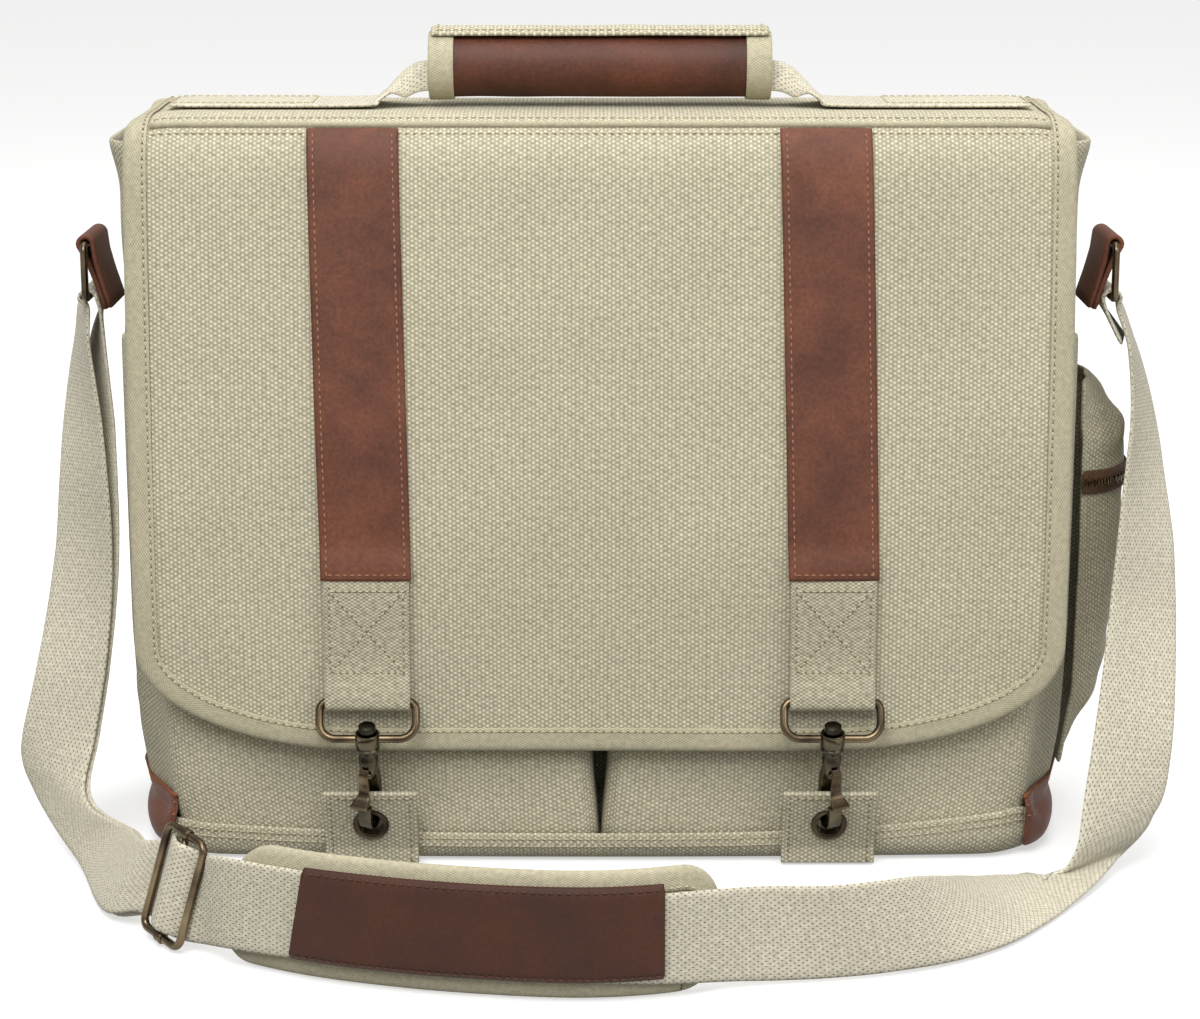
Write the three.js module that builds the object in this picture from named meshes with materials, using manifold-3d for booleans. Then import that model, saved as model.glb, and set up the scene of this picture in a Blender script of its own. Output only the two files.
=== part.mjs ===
// Canvas laptop bag with leather trim, standing on its base with its shoulder strap laid in front.
// Millimetres, +Z up, front towards -Y, +X to the viewer's right. The origin is the middle of the base.
import * as THREE from 'three';
import { mergeVertices } from 'three/addons/utils/BufferGeometryUtils.js';
import Module from 'manifold-3d';

const wasm = await Module();
wasm.setup();

// Cloth, leather and clearances
const GAP = 0.4;
const CANVAS = 2;
const LEATHER = 2;
const WEBBING = 1.8;
const WEBBING_WIDTH = 38;

// Main compartment: half width, back wall and wall corner at each height; its front wall is flat
const BODY_FRONT = -20;
const BODY_FLOOR = 5;
const BODY_ROWS = [
  { z: 2.9, half: 188, back: 50, corner: 18 },
  { z: 8.5, half: 195.4, back: 57.8, corner: 20 },
  { z: 28, half: 203.4, back: 59, corner: 20 },
  { z: 60, half: 208, back: 60, corner: 17 },
  { z: 120, half: 209, back: 60, corner: 18 },
  { z: 230, half: 208, back: 60, corner: 18 },
  { z: 288, half: 208, back: 60, corner: 18 },
  { z: 306, half: 211, back: 60, corner: 18 },
];

// Base tray: its plan, its turned-up rim and how far the rim climbs at the two front corners
const BASE = { half: 201, front: -60, back: 61, corner: 22, bow: 4, taper: 0.07 };
const BASE_RIM = 13;
const RIM_CLIMB = { left: 6, right: 14 };
const BASE_EDGE = [
  { z: 0, inset: 7 },
  { z: 2.5, inset: 2.5 },
  { z: 7, inset: 0 },
];

// Front pockets: front wall, half widths at its two ends and half the slit between the pockets
const POCKET_BACK = BODY_FRONT - GAP;
const POCKET_ROWS = [
  { z: 3.4, front: -50.5, slit: 0.5, near: 172, far: 184 },
  { z: 9, front: -56.8, slit: 0.5, near: 180, far: 193 },
  { z: 30, front: -57.2, slit: 2.4, near: 183, far: 199 },
  { z: 50, front: -59, slit: 3.8, near: 188, far: 204 },
  { z: 95, front: -60, slit: 4.6, near: 190, far: 206 },
  { z: 160, front: -57, slit: 5, near: 192, far: 206 },
  { z: 225, front: -47, slit: 5, near: 194, far: 206 },
];
const POCKET_BOW = 4;

// Side pocket on the right gusset: part of its bulge from the front seam to the back one, and its zip
const SIDE_POCKET_PLAN = [[0, -14], [0.5, -9], [0.82, 0], [1, 14], [0.92, 32], [0.62, 39.5], [0, 42]];
const SIDE_POCKET_ROWS = [
  { z: 34, bulge: 4 },
  { z: 60, bulge: 12 },
  { z: 120, bulge: 19 },
  { z: 172, bulge: 23 },
  { z: 196, bulge: 20 },
];
const ZIP = { z: 157, tape: 14, teeth: 3.2, thick: 0.9, points: 5 };

// Leather corners at the foot of the gussets
const CORNER_ROWS = [
  { z: 3, inset: 2 },
  { z: 7, inset: 0 },
  { z: 14, inset: -0.4 },
  { z: 27, inset: -3.6 },
];
const CORNER_LEATHER = 1.6;

// Flap: middle of the sheet from the seam on the back panel, over the top, to the lower front edge
const FLAP = { thick: 2.4, half: 198, taper: 3 };
const FLAP_CORNER = { wide: 100, high: 44, steps: 7 };
const CURL = { wide: 20, top: 6, low: 2, start: 42, full: 70 };
const FLAP_PROFILE = [
  { y: 64.2, z: 270 },
  { y: 64.4, z: 300 },
  { y: 64, z: 307 },
  { y: 59, z: 314 },
  { y: 46, z: 317.2 },
  { y: 0, z: 317.6 },
  { y: -30, z: 317 },
  { y: -40, z: 313 },
  { y: -46, z: 303 },
  { y: -50, z: 285 },
  { y: -57, z: 240 },
  { y: -64, z: 185 },
  { y: -68, z: 140 },
  { y: -69.3, z: 100 },
  { y: -69.3, z: 54 },
];
const BINDING = { width: 9, thick: 1.2, gap: 0.7, wrap: 1.9 };

// Leather straps, webbing tabs and swivel snaps on the flap, at each side of the middle
const STRAP_X = 98;
const STRAP_TOP_Z = 312;
const LEATHER_END_Z = 129;
const LEATHER_WIDTH = 38;
const STRAP_LEAN = -4.5;
const TAB_WIDTH = 36;
const LOOP_WIRE = 1.75;
const LOOP = { half: 20.4, topRadius: 4.2, lowRadius: 7, topZ: 76.2, topY: -74.65, hole: 2.15, slack: 1 };
const TAB_REAR = -70.9;
const TAB_WALL = 1.6;
// Swivel snap about its own axis: X towards the gate, Z up, from the collar's foot
const SNAP = { y: -78.4, z: 52.6, tilt: 15.3, yaw: 20 };
const BOSS = { radius: 5.2, z0: 6, z1: 12.4 };
const SHANK = { radius: 2.6, play: 0.35 };
const COLLAR = { radius: 4.4, height: 5.6 };
const RIVET = { radius: 3.4, z0: 12.7, z1: 15.3 };
const HOOK = { wide: 4.4, inner: 3.6, outer: 6.8, bendZ: -28.4, tipZ: -20.6, noseZ: -22.2 };
const GATE = { x: 3.6, z: -7, eye: 2.3, hole: 1.3, pin: 1, eyeWide: 2, slotWide: 2.6, wide: 4.2 };

// Canvas tabs with eyelets that the snaps hook into: rear face of the tab at each height
const CATCH_ROWS = [
  { z: 0.6, y: -63.4 },
  { z: 8, y: -63.8 },
  { z: 35.1, y: -72.4 },
];
const CATCH = { wide: 40, thick: 2.6 };
const EYELET = { z: 20.2, hole: 5.4, barrel: 5.9, front: 7.8, rear: 6.3, lip: 0.4 };

// Top handle: webbing across the top that rises into a leather grip
const HANDLE_Y = 4;
const HANDLE_ROWS = [
  { x: -184, rise: 0, wide: 38 },
  { x: -104, rise: 0, wide: 38 },
  { x: -94, rise: 2, wide: 34 },
  { x: -86, rise: 9, wide: 26 },
  { x: -78, rise: 14.6, wide: 20.4 },
  { x: -66, rise: 15.3, wide: 20 },
];
const GRIP = { half: 73, radius: 13.5, z: 336, slotWide: 21.4, slotHigh: 3.2 };
const CUFF = { long: 11, thick: 0.9 };
const COVER = { thick: 1.8, back: -25, front: 124, half: 72 };

// Side rings: leather tab from the gusset, wire ring and where its bars run
const RING_WIRE = 1.6;
const RING = { half: 22.4, top: 262, low: 239, x: 219.5, corner: 3.2 };
const RING_TAB = { wide: 36, sleeve: 4.2, plate: 4.2, rootX: 210.6, rootZ: 234, hole: 2 };

// Shoulder strap: middle of the band, the way across it to its lower or outer edge, and its width
const STRAP_LEFT = [
  { x: -223.4, y: 0, z: 238, across: [0, 1, 0] },
  { x: -225.5, y: 0, z: 220, across: [-11, 36, -2] },
  { x: -225.5, y: -8, z: 183, across: [-23, 32, -4] },
  { x: -225, y: -14, z: 160, across: [-27, 29, -4] },
  { x: -225, y: -20, z: 131, across: [-32, 27, -5] },
  { x: -227, y: -27, z: 104, across: [-36, 23, -5] },
  { x: -231, y: -35, z: 75, across: [-40, 20, -4] },
  { x: -236, y: -40, z: 50, across: [-40, 24, -1], span: 41 },
  { x: -238.5, y: -44, z: 35, across: [-37, 33, 5], span: 44 },
  { x: -234.5, y: -50, z: 26, across: [-35, 36, -1], span: 45 },
  { x: -225, y: -62, z: 19, across: [-31, 31, -13], span: 43 },
  { x: -210, y: -83, z: 14.5, across: [-26, 20, -25], span: 40 },
  { x: -193, y: -132, z: 19, across: [-18, 3, -33] },
];
const STRAP_SLIDER = { x: -170, y: -157, z: 24.8, across: [-10, -2, -36] };
const STRAP_FRONT = [
  { x: -146, y: -178, z: 25.5, across: [-2, 0, -38] },
  { x: -117, y: -194, z: 27, across: [0, 0, -1] },
  { x: -77, y: -207, z: 27, across: [0, 0, -1] },
  { x: -38, y: -214.5, z: 27, across: [0, 0, -1] },
  { x: -4, y: -217, z: 26, across: [0, 0, -1] },
  { x: 24, y: -213, z: 24.5, across: [0, 0, -1] },
  { x: 47, y: -204, z: 22.5, across: [0, -1, -36] },
  { x: 66, y: -197, z: 20.5, across: [2, -4, -36] },
];
const STRAP_RIGHT = [
  { x: 92, y: -194, z: 20, across: [4, -1, -37] },
  { x: 122, y: -184, z: 19.8, across: [10, -2, -36] },
  { x: 150, y: -158, z: 14.5, across: [24, -7, -26] },
  { x: 168, y: -130, z: 9, across: [29, -8, -14] },
  { x: 184, y: -106, z: 6, across: [34, -4, -6] },
  { x: 205, y: -86, z: 7, across: [36, 22, 2], span: 42 },
  { x: 214, y: -84, z: 13, across: [40, 24, 10], span: 44 },
  { x: 219, y: -82, z: 22, across: [40, 24, 8], span: 43 },
  { x: 223, y: -77, z: 36, across: [40, 23, -4], span: 41 },
  { x: 228, y: -66, z: 62, across: [41, 23, -10] },
  { x: 231.5, y: -53, z: 86, across: [38, 27, -10] },
  { x: 234.5, y: -39, z: 110, across: [35, 31, -9] },
  { x: 236.5, y: -27, z: 135, across: [30, 34, -8] },
  { x: 237, y: -16, z: 160, across: [23, 36, -7] },
  { x: 236.5, y: -7, z: 188, across: [17, 37, -6] },
  { x: 231, y: -1, z: 218, across: [8, 38, -2] },
  { x: 223.4, y: 0, z: 238, across: [0, 1, 0] },
];
// The band turns over the lower bar of each side ring; its spare layer lies inside the outer one
const TURN_RADIUS = 3.9;
const TURN_STEPS = 5;
const SPARE_LAYER = [7.8, 7, 6, 5, 4, 3];
const SEWN_ROWS = 1;
const SLIDER = { half: 22, reach: 12.4, wire: 1.7, bar: 1.5, corner: 4, weave: 3.5 };

// Shoulder pad behind the strap and leather patch in front of it
const PAD = { thick: 6, low: 0.8, high: 50.5, gap: 1.2 };
const PAD_PATH = [
  { x: -147.5, y: -176.7, trim: 12 },
  { x: -143, y: -180, trim: 3 },
  { x: -117, y: -194, trim: 0 },
  { x: -77, y: -207, trim: 0 },
  { x: -38, y: -214.5, trim: 0 },
  { x: -4, y: -217, trim: 0 },
  { x: 24, y: -213, trim: 1 },
  { x: 40, y: -207, trim: 6 },
  { x: 47, y: -203.5, trim: 14 },
];
const PATCH = { low: 9, high: 46.5, thick: 1.8, first: 2, last: 6 };

// Colours and finishes of the materials
const finish = (color, roughness, metalness) =>
  new THREE.MeshStandardMaterial({ color, roughness, metalness });
const canvas = () => finish('#c9c1a3', 0.95, 0);
const webbing = () => finish('#d6d0bd', 0.95, 0);
const leather = () => finish('#6b3d2c', 0.6, 0);
const brass = () => finish('#6a5b43', 0.4, 1);

const bag = new THREE.Group();
const vec = (x, y, z) => new THREE.Vector3(x, y, z);
const lerp = THREE.MathUtils.lerp;
const rad = THREE.MathUtils.degToRad;
const sides = [{ name: 'left', sign: -1 }, { name: 'right', sign: 1 }];

function place(name, geometry, material) {
  geometry.computeVertexNormals();
  const mesh = new THREE.Mesh(geometry, material);
  mesh.name = name;
  bag.add(mesh);
  return mesh;
}

// Skin through rings of points with the same count, with fan, strip or joined ends, facing outwards.
// Each four-sided patch folds on its shorter diagonal, and both faces of a strip fold alike.
function loft(rings, ends) {
  const count = rings[0].length;
  const points = rings.flat();
  const faces = [];
  const steps = ends === 'joined' ? rings.length : rings.length - 1;
  for (let step = 0; step < steps; step++) {
    const low = step * count;
    const high = ((step + 1) % rings.length) * count;
    for (let i = 0; i < count; i++) {
      const j = (i + 1) % count;
      const twin = ends === 'strip' && i > count / 2 - 1 && j > 0;
      const near = twin ? count - 2 - i : i;
      const next = (near + 1) % count;
      const leans = points[low + near].distanceTo(points[high + next])
        <= points[low + next].distanceTo(points[high + near]);
      if (leans !== twin) {
        faces.push([low + i, low + j, high + j], [low + i, high + j, high + i]);
      } else {
        faces.push([low + i, low + j, high + i], [low + j, high + j, high + i]);
      }
    }
  }
  const last = (rings.length - 1) * count;
  if (ends === 'fan') {
    for (const [ring, start, turn] of [[rings[0], 0, true], [rings.at(-1), last, false]]) {
      const middle = ring.reduce((sum, p) => sum.clone().add(p), vec(0, 0, 0)).divideScalar(count);
      points.push(middle);
      for (let i = 0; i < count; i++) {
        const edge = [start + i, start + (i + 1) % count];
        faces.push([points.length - 1, ...(turn ? edge.reverse() : edge)]);
      }
    }
  }
  if (ends === 'strip') {
    for (let i = 0; i + 1 < count / 2; i++) {
      const quad = [i, i + 1, count - 2 - i, count - 1 - i];
      const [a, b, c, d] = quad;
      faces.push([a, d, c], [a, c, b]);
      faces.push([last + a, last + c, last + d], [last + a, last + b, last + c]);
    }
  }
  return outward(points, faces);
}

function outward(points, faces) {
  let volume = 0;
  for (const [a, b, c] of faces) {
    volume += points[a].dot(points[b].clone().cross(points[c]));
  }
  const index = faces.flatMap(([a, b, c]) => (volume < 0 ? [a, c, b] : [a, b, c]));
  const geometry = new THREE.BufferGeometry();
  const places = points.flatMap((p) => [p.x, p.y, p.z]);
  geometry.setAttribute('position', new THREE.Float32BufferAttribute(places, 3));
  geometry.setIndex(index);
  return geometry;
}

// Closed geometry to a solid for joining and cutting, and back
function solid(geometry) {
  const bare = geometry.clone();
  bare.deleteAttribute('normal');
  bare.deleteAttribute('uv');
  const merged = mergeVertices(bare, 1e-4);
  return new wasm.Manifold(new wasm.Mesh({
    numProp: 3,
    vertProperties: new Float32Array(merged.attributes.position.array),
    triVerts: new Uint32Array(merged.index.array),
  }));
}

function geometryOf(shape) {
  const mesh = shape.getMesh();
  const geometry = new THREE.BufferGeometry();
  geometry.setAttribute('position', new THREE.Float32BufferAttribute(mesh.vertProperties, 3));
  geometry.setIndex([...mesh.triVerts]);
  return geometry;
}

// Round bar from one point to another
function bar(from, to, radius, segments) {
  const along = to.clone().sub(from);
  const geometry = new THREE.CylinderGeometry(radius, radius, along.length(), segments);
  const turn = new THREE.Quaternion().setFromUnitVectors(vec(0, 1, 0), along.clone().normalize());
  geometry.applyQuaternion(turn);
  const middle = from.clone().add(to).multiplyScalar(0.5);
  geometry.translate(middle.x, middle.y, middle.z);
  return geometry;
}

// Plan of the bag at one height: rounded rectangle with a bowed, narrower front
const CORNER_STEPS = 3;
const EDGE_STEPS = [2, 6, 2, 6];
// Points of the plan that run round each end of the bag
const CORNER_SPAN = { right: 1, left: 15, count: 7 };
function outline(row, inset, z) {
  const { half, front, back, corner, bow = 0, taper = 0 } = row;
  const h = half - inset;
  const f = front + inset;
  const b = back - inset;
  const r = corner - inset / 2;
  const centres = [[h - r, f + r], [h - r, b - r], [r - h, b - r], [r - h, f + r]];
  const flat = centres.flatMap(([cx, cy], k) => {
    const arc = [];
    for (let i = 0; i <= CORNER_STEPS; i++) {
      const angle = (k - 1 + i / CORNER_STEPS) * Math.PI / 2;
      arc.push([cx + r * Math.cos(angle), cy + r * Math.sin(angle)]);
    }
    const [nx, ny] = centres[(k + 1) % 4];
    const turn = k * Math.PI / 2;
    const from = arc.at(-1);
    const to = [nx + r * Math.cos(turn), ny + r * Math.sin(turn)];
    for (let i = 1; i < EDGE_STEPS[k]; i++) {
      const part = i / EDGE_STEPS[k];
      arc.push([lerp(from[0], to[0], part), lerp(from[1], to[1], part)]);
    }
    return arc;
  });
  return flat.map(([x, y]) => {
    const forward = y < 0 ? y / f : 0;
    const narrow = 1 - taper * forward * forward;
    return vec(x * narrow, y - bow * forward * (1 - (x / h) ** 2), z);
  });
}

// Row of a table worked out at any height between its own rows
function rowAt(rows, z) {
  const next = Math.max(1, rows.findIndex((row) => row.z >= z));
  const [low, high] = [rows[next - 1], rows[next]];
  const part = (z - low.z) / (high.z - low.z);
  return Object.fromEntries(Object.keys(low).map((key) => [key, lerp(low[key], high[key], part)]));
}

// Wall of even thickness beside a path in plan, as a ring: outer side, then inner side back again
function wallRing(path, near, far, z) {
  const shifted = (distance) => path.map(([x, y], i) => {
    const [px, py] = path[Math.max(0, i - 1)];
    const [qx, qy] = path[Math.min(path.length - 1, i + 1)];
    const length = Math.hypot(qx - px, qy - py);
    return vec(x + distance * (qy - py) / length, y - distance * (qx - px) / length, z);
  });
  return [...shifted(far), ...shifted(near).reverse()];
}

// Main compartment, open at the top
function mainBody() {
  const rows = BODY_ROWS.map((row) => ({ ...row, front: BODY_FRONT }));
  const outer = rows.map((row) => outline(row, 0, row.z));
  const inner = rows.slice(1).reverse().map((row) => outline(row, CANVAS, row.z));
  const floor = outline(rows[0], CANVAS + 1, BODY_FLOOR);
  return loft([...outer, ...inner, floor], 'fan');
}

// Base tray with a rim that climbs at the front corners
function rimHeight(p) {
  const climb = p.x < 0 ? RIM_CLIMB.left : RIM_CLIMB.right;
  const forward = Math.max(0, p.y / BASE.front);
  return BASE_RIM + climb * forward * Math.abs(p.x / BASE.half) ** 3;
}
function baseTray() {
  const outer = BASE_EDGE.map(({ z, inset }) => outline(BASE, inset, z));
  const rim = [0, CANVAS].map((inset) => outline(BASE, inset, 0).map((p) => p.setZ(rimHeight(p))));
  const inner = [outline(BASE, CANVAS, 7.5), outline(BASE, 7.5, 2.5)];
  return loft([...outer, ...rim, ...inner], 'fan');
}

// One front pocket: wall round its inner side, front and outer side, sewn to the body behind
function frontPocket(sign) {
  const rings = POCKET_ROWS.map(({ z, front, slit, near, far }) => {
    const bowed = (x) => front - POCKET_BOW * (1 - (x / near) ** 2);
    const face = [0.28, 0.55, 0.78].map((part) => [near * part, bowed(near * part)]);
    const path = [
      [slit, POCKET_BACK], [slit, bowed(slit) + 9], [slit + 3, bowed(slit) + 2], [slit + 9, bowed(slit)],
      ...face,
      [near - 16, bowed(near - 16)], [near - 5, front + 4], [near, front + 14], [far, POCKET_BACK],
    ];
    return wallRing(path, -CANVAS, 0, z).map((p) => p.setX(sign * p.x));
  });
  return loft(rings, 'strip');
}

// Side pocket on the right gusset: wall that bulges from the gusset, open at the top
function sidePocketPath(z) {
  const foot = rowAt(BODY_ROWS, z).half + GAP;
  const { bulge } = rowAt(SIDE_POCKET_ROWS, z);
  return SIDE_POCKET_PLAN.map(([part, y]) => [foot + bulge * part, y]);
}
function sidePocket() {
  const rings = SIDE_POCKET_ROWS.map(({ z }) => {
    const gusset = rowAt(BODY_ROWS, z).half + GAP;
    return wallRing(sidePocketPath(z), -CANVAS, 0, z).map((p) => p.setX(Math.max(p.x, gusset)));
  });
  return loft(rings, 'strip');
}
function zipStrip(high, near, far) {
  const levels = [ZIP.z - high / 2, ZIP.z + high / 2];
  return loft(levels.map((z) => wallRing(sidePocketPath(z).slice(0, ZIP.points), near, far, z)), 'strip');
}

// Leather over the foot of one gusset, round the side of the base
function leatherCorner(sign) {
  const first = sign > 0 ? CORNER_SPAN.right : CORNER_SPAN.left;
  const layer = (z, inset) => outline(BASE, inset, z).slice(first, first + CORNER_SPAN.count);
  const rings = CORNER_ROWS.map(({ z, inset }) => {
    const outer = layer(z, inset - GAP - CORNER_LEATHER);
    const inner = layer(z, inset - GAP);
    return [...outer, ...inner.reverse()];
  });
  return loft(rings, 'strip');
}

// The flap is laid out flat as x across and s along, then bent over the bag
const flapLine = FLAP_PROFILE.map(({ y, z }) => vec(0, y, z));
const flapCurve = new THREE.CatmullRomCurve3(flapLine, false, 'centripetal');
const flapLength = flapCurve.getLength();
function flapHalf(s) {
  const straight = FLAP.half - FLAP.taper * s / flapLength;
  const part = THREE.MathUtils.clamp(1 - (flapLength - s) / FLAP_CORNER.high, 0, 1);
  return straight - FLAP_CORNER.wide * (1 - Math.sqrt(1 - part * part));
}
function flapPoint(x, s, lift) {
  const along = THREE.MathUtils.clamp(s / flapLength, 0, 1);
  const tangent = flapCurve.getTangentAt(along);
  const point = flapCurve.getPointAt(along).addScaledVector(tangent, s - along * flapLength);
  const straight = FLAP.half - FLAP.taper * along;
  const edge = Math.max(0, Math.abs(x) - straight + CURL.wide) / CURL.wide;
  const rolled = THREE.MathUtils.smoothstep(s, CURL.start, CURL.full);
  const curl = lerp(CURL.top, CURL.low, along) * edge * edge * rolled;
  const normal = vec(0, tangent.z, -tangent.y);
  return point.addScaledVector(normal, lift - curl).setX(x);
}
function flapStationAt(z) {
  const steps = 400;
  for (let i = steps; i > 0; i--) {
    const s = flapLength * i / steps;
    if (flapPoint(0, s, 0).z >= z) {
      return s;
    }
  }
  return 0;
}

const FLAP_STEPS = 19;
const cornerStart = flapLength - FLAP_CORNER.high;
const cornerStep = Math.PI / 2 / FLAP_CORNER.steps;
const cornerAngles = Array.from({ length: FLAP_CORNER.steps + 1 }, (_, i) => i * cornerStep);
const flapStations = [
  ...Array.from({ length: FLAP_STEPS }, (_, i) => cornerStart * i / FLAP_STEPS),
  ...cornerAngles.map((angle) => cornerStart + FLAP_CORNER.high * Math.sin(angle)),
];
const stationsBetween = (s0, s1) => [s0, ...flapStations.filter((s) => s > s0 + 1 && s < s1 - 1), s1];

function flapSheet() {
  const rings = flapStations.map((s) => {
    const half = flapHalf(s);
    const right = [0.25, 0.5, 0.75].map((part) => part * (half - CURL.wide));
    const columns = [...right, half - CURL.wide, half - BINDING.width, half];
    const xs = [...columns.map((x) => -x).reverse(), 0, ...columns];
    const top = xs.map((x) => flapPoint(x, s, FLAP.thick / 2));
    const under = xs.map((x) => flapPoint(x, s, -FLAP.thick / 2));
    return [...top, ...under.reverse()];
  });
  return loft(rings, 'strip');
}

// Binding folded over the flap's two sides and lower edge
function flapBinding() {
  const near = FLAP.thick / 2 + BINDING.gap;
  const far = near + BINDING.thick;
  const { width, wrap, gap } = BINDING;
  const section = [
    [width, far], [0, far], [-wrap, 0.8], [-wrap, -0.8], [0, -far], [width, -far],
    [width, -near], [0, -near], [-gap, -0.4], [-gap, 0.4], [0, near], [width, near],
  ];
  const straight = flapStations.filter((s) => s < cornerStart - 1);
  const side = straight.map((s) => ({ x: flapHalf(s), s, ix: -1, is: 0 }));
  const reach = flapHalf(flapLength);
  const turn = cornerAngles.map((angle) => {
    const slope = [Math.cos(angle) / FLAP_CORNER.wide, Math.sin(angle) / FLAP_CORNER.high];
    const [ix, is] = slope.map((part) => -part / Math.hypot(...slope));
    const s = cornerStart + FLAP_CORNER.high * Math.sin(angle);
    return { x: flapHalf(s), s, ix, is };
  });
  const low = [0.66, 0.33].map((part) => ({ x: reach * part, s: flapLength, ix: 0, is: -1 }));
  const half = [...side, ...turn, ...low];
  const mirrored = half.map(({ x, s, ix, is }) => ({ x: -x, s, ix: -ix, is }));
  const edge = [...mirrored, { x: 0, s: flapLength, ix: 0, is: -1 }, ...half.reverse()];
  const rings = edge.map(({ x, s, ix, is }) => section.map(([inward, lift]) =>
    flapPoint(x + ix * inward, s + is * inward, lift)));
  return loft(rings, 'strip');
}

// Patch of even thickness laid on the flap, between two stations, leaning over at its upper end
function flapPatch(middle, width, s0, s1, near, far) {
  const rings = stationsBetween(s0, s1).map((s) => {
    const axis = middle + STRAP_LEAN * (s1 - s) / (s1 - s0);
    const xs = [axis - width / 2, axis + width / 2];
    return [...xs.map((x) => flapPoint(x, s, far)), ...xs.reverse().map((x) => flapPoint(x, s, near))];
  });
  return loft(rings, 'strip');
}

// Outline drawn in Y and Z, drawn out along X
function alongX(shape, x0, x1, curveSegments) {
  const geometry = new THREE.ExtrudeGeometry(shape, { depth: x1 - x0, bevelEnabled: false, curveSegments });
  geometry.applyMatrix4(new THREE.Matrix4().makeBasis(vec(0, 1, 0), vec(0, 0, 1), vec(1, 0, 0)));
  return geometry.translate(x0, 0, 0);
}

// Outline drawn in X and Z, drawn out along Y by the same amount each way
function alongY(shape, wide, curveSegments) {
  const geometry = new THREE.ExtrudeGeometry(shape, { depth: wide, bevelEnabled: false, curveSegments });
  geometry.applyMatrix4(new THREE.Matrix4().makeBasis(vec(1, 0, 0), vec(0, 0, 1), vec(0, -1, 0)));
  return geometry.translate(0, wide / 2, 0);
}

// Webbing tab: lies on the flap and folds round the upper bar of the snap's loop
function webbingTab(x) {
  const front = TAB_REAR - 2 * WEBBING - GAP;
  const turn = LOOP.hole + TAB_WALL;
  const lowZ = LOOP.topZ - LOOP.slack;
  const shape = new THREE.Shape();
  shape.moveTo(TAB_REAR, LEATHER_END_Z - GAP);
  shape.lineTo(front, LEATHER_END_Z - GAP);
  shape.lineTo(front, LOOP.topZ + 12);
  shape.lineTo(LOOP.topY - turn, LOOP.topZ);
  shape.lineTo(LOOP.topY - turn, lowZ);
  shape.absarc(LOOP.topY, lowZ, turn, Math.PI, 2 * Math.PI, false);
  const eye = new THREE.Path();
  eye.absarc(LOOP.topY, LOOP.topZ, LOOP.hole, 0, Math.PI, false);
  eye.absarc(LOOP.topY, lowZ, LOOP.hole, Math.PI, 2 * Math.PI, false);
  shape.holes.push(eye);
  return alongX(shape, x - TAB_WIDTH / 2, x + TAB_WIDTH / 2, 5);
}

// Round wire bent into a closed flat ring
function wireRing(points, normal, radius, count) {
  const rings = points.map((point, i) => {
    const ahead = points[(i + 1) % points.length];
    const behind = points.at(i - 1);
    const side = ahead.clone().sub(behind).cross(normal).normalize();
    return Array.from({ length: count }, (_, k) => {
      const angle = 2 * Math.PI * k / count;
      return point.clone().addScaledVector(side, radius * Math.cos(angle))
        .addScaledVector(normal, radius * Math.sin(angle));
    });
  });
  return loft(rings, 'joined');
}

// Rounded rectangle as [across, along] pairs, with its own radius at each end
function roundedPath(half, low, high, lowRadius, highRadius, steps) {
  const corners = [
    [half - highRadius, high - highRadius, highRadius, 0],
    [highRadius - half, high - highRadius, highRadius, 1],
    [lowRadius - half, low + lowRadius, lowRadius, 2], [half - lowRadius, low + lowRadius, lowRadius, 3],
  ];
  return corners.flatMap(([cx, cy, r, quarter]) => Array.from({ length: steps + 1 }, (_, i) => {
    const angle = (quarter + i / steps) * Math.PI / 2;
    return [cx + r * Math.cos(angle), cy + r * Math.sin(angle)];
  }));
}

// Frame of one swivel snap, and its pieces
function snapFrame(sign) {
  const turn = new THREE.Matrix4().makeRotationX(rad(SNAP.tilt));
  turn.multiply(new THREE.Matrix4().makeRotationZ(rad(sign * SNAP.yaw - 90)));
  return turn.setPosition(sign * STRAP_X, SNAP.y, SNAP.z);
}
const upright = (z0, z1, radius, segments) => bar(vec(0, 0, z0), vec(0, 0, z1), radius, segments);

function snapLoop(sign, frame) {
  const middle = vec(0, 0, (BOSS.z0 + BOSS.z1) / 2).applyMatrix4(frame);
  const down = middle.clone().sub(vec(middle.x, LOOP.topY, LOOP.topZ));
  const drop = down.length();
  down.normalize();
  const path = roundedPath(LOOP.half, -drop, 0, LOOP.lowRadius, LOOP.topRadius, 3).map(([across, along]) =>
    vec(middle.x + across, LOOP.topY, LOOP.topZ).addScaledVector(down, -along));
  const wire = solid(wireRing(path, vec(1, 0, 0).cross(down), LOOP_WIRE, 8));
  const boss = solid(upright(BOSS.z0, BOSS.z1, BOSS.radius, 16).applyMatrix4(frame));
  const bore = solid(upright(BOSS.z0 - 2, BOSS.z1 + 2, SHANK.radius + SHANK.play, 12).applyMatrix4(frame));
  return geometryOf(wire.add(boss).subtract(bore));
}

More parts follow.
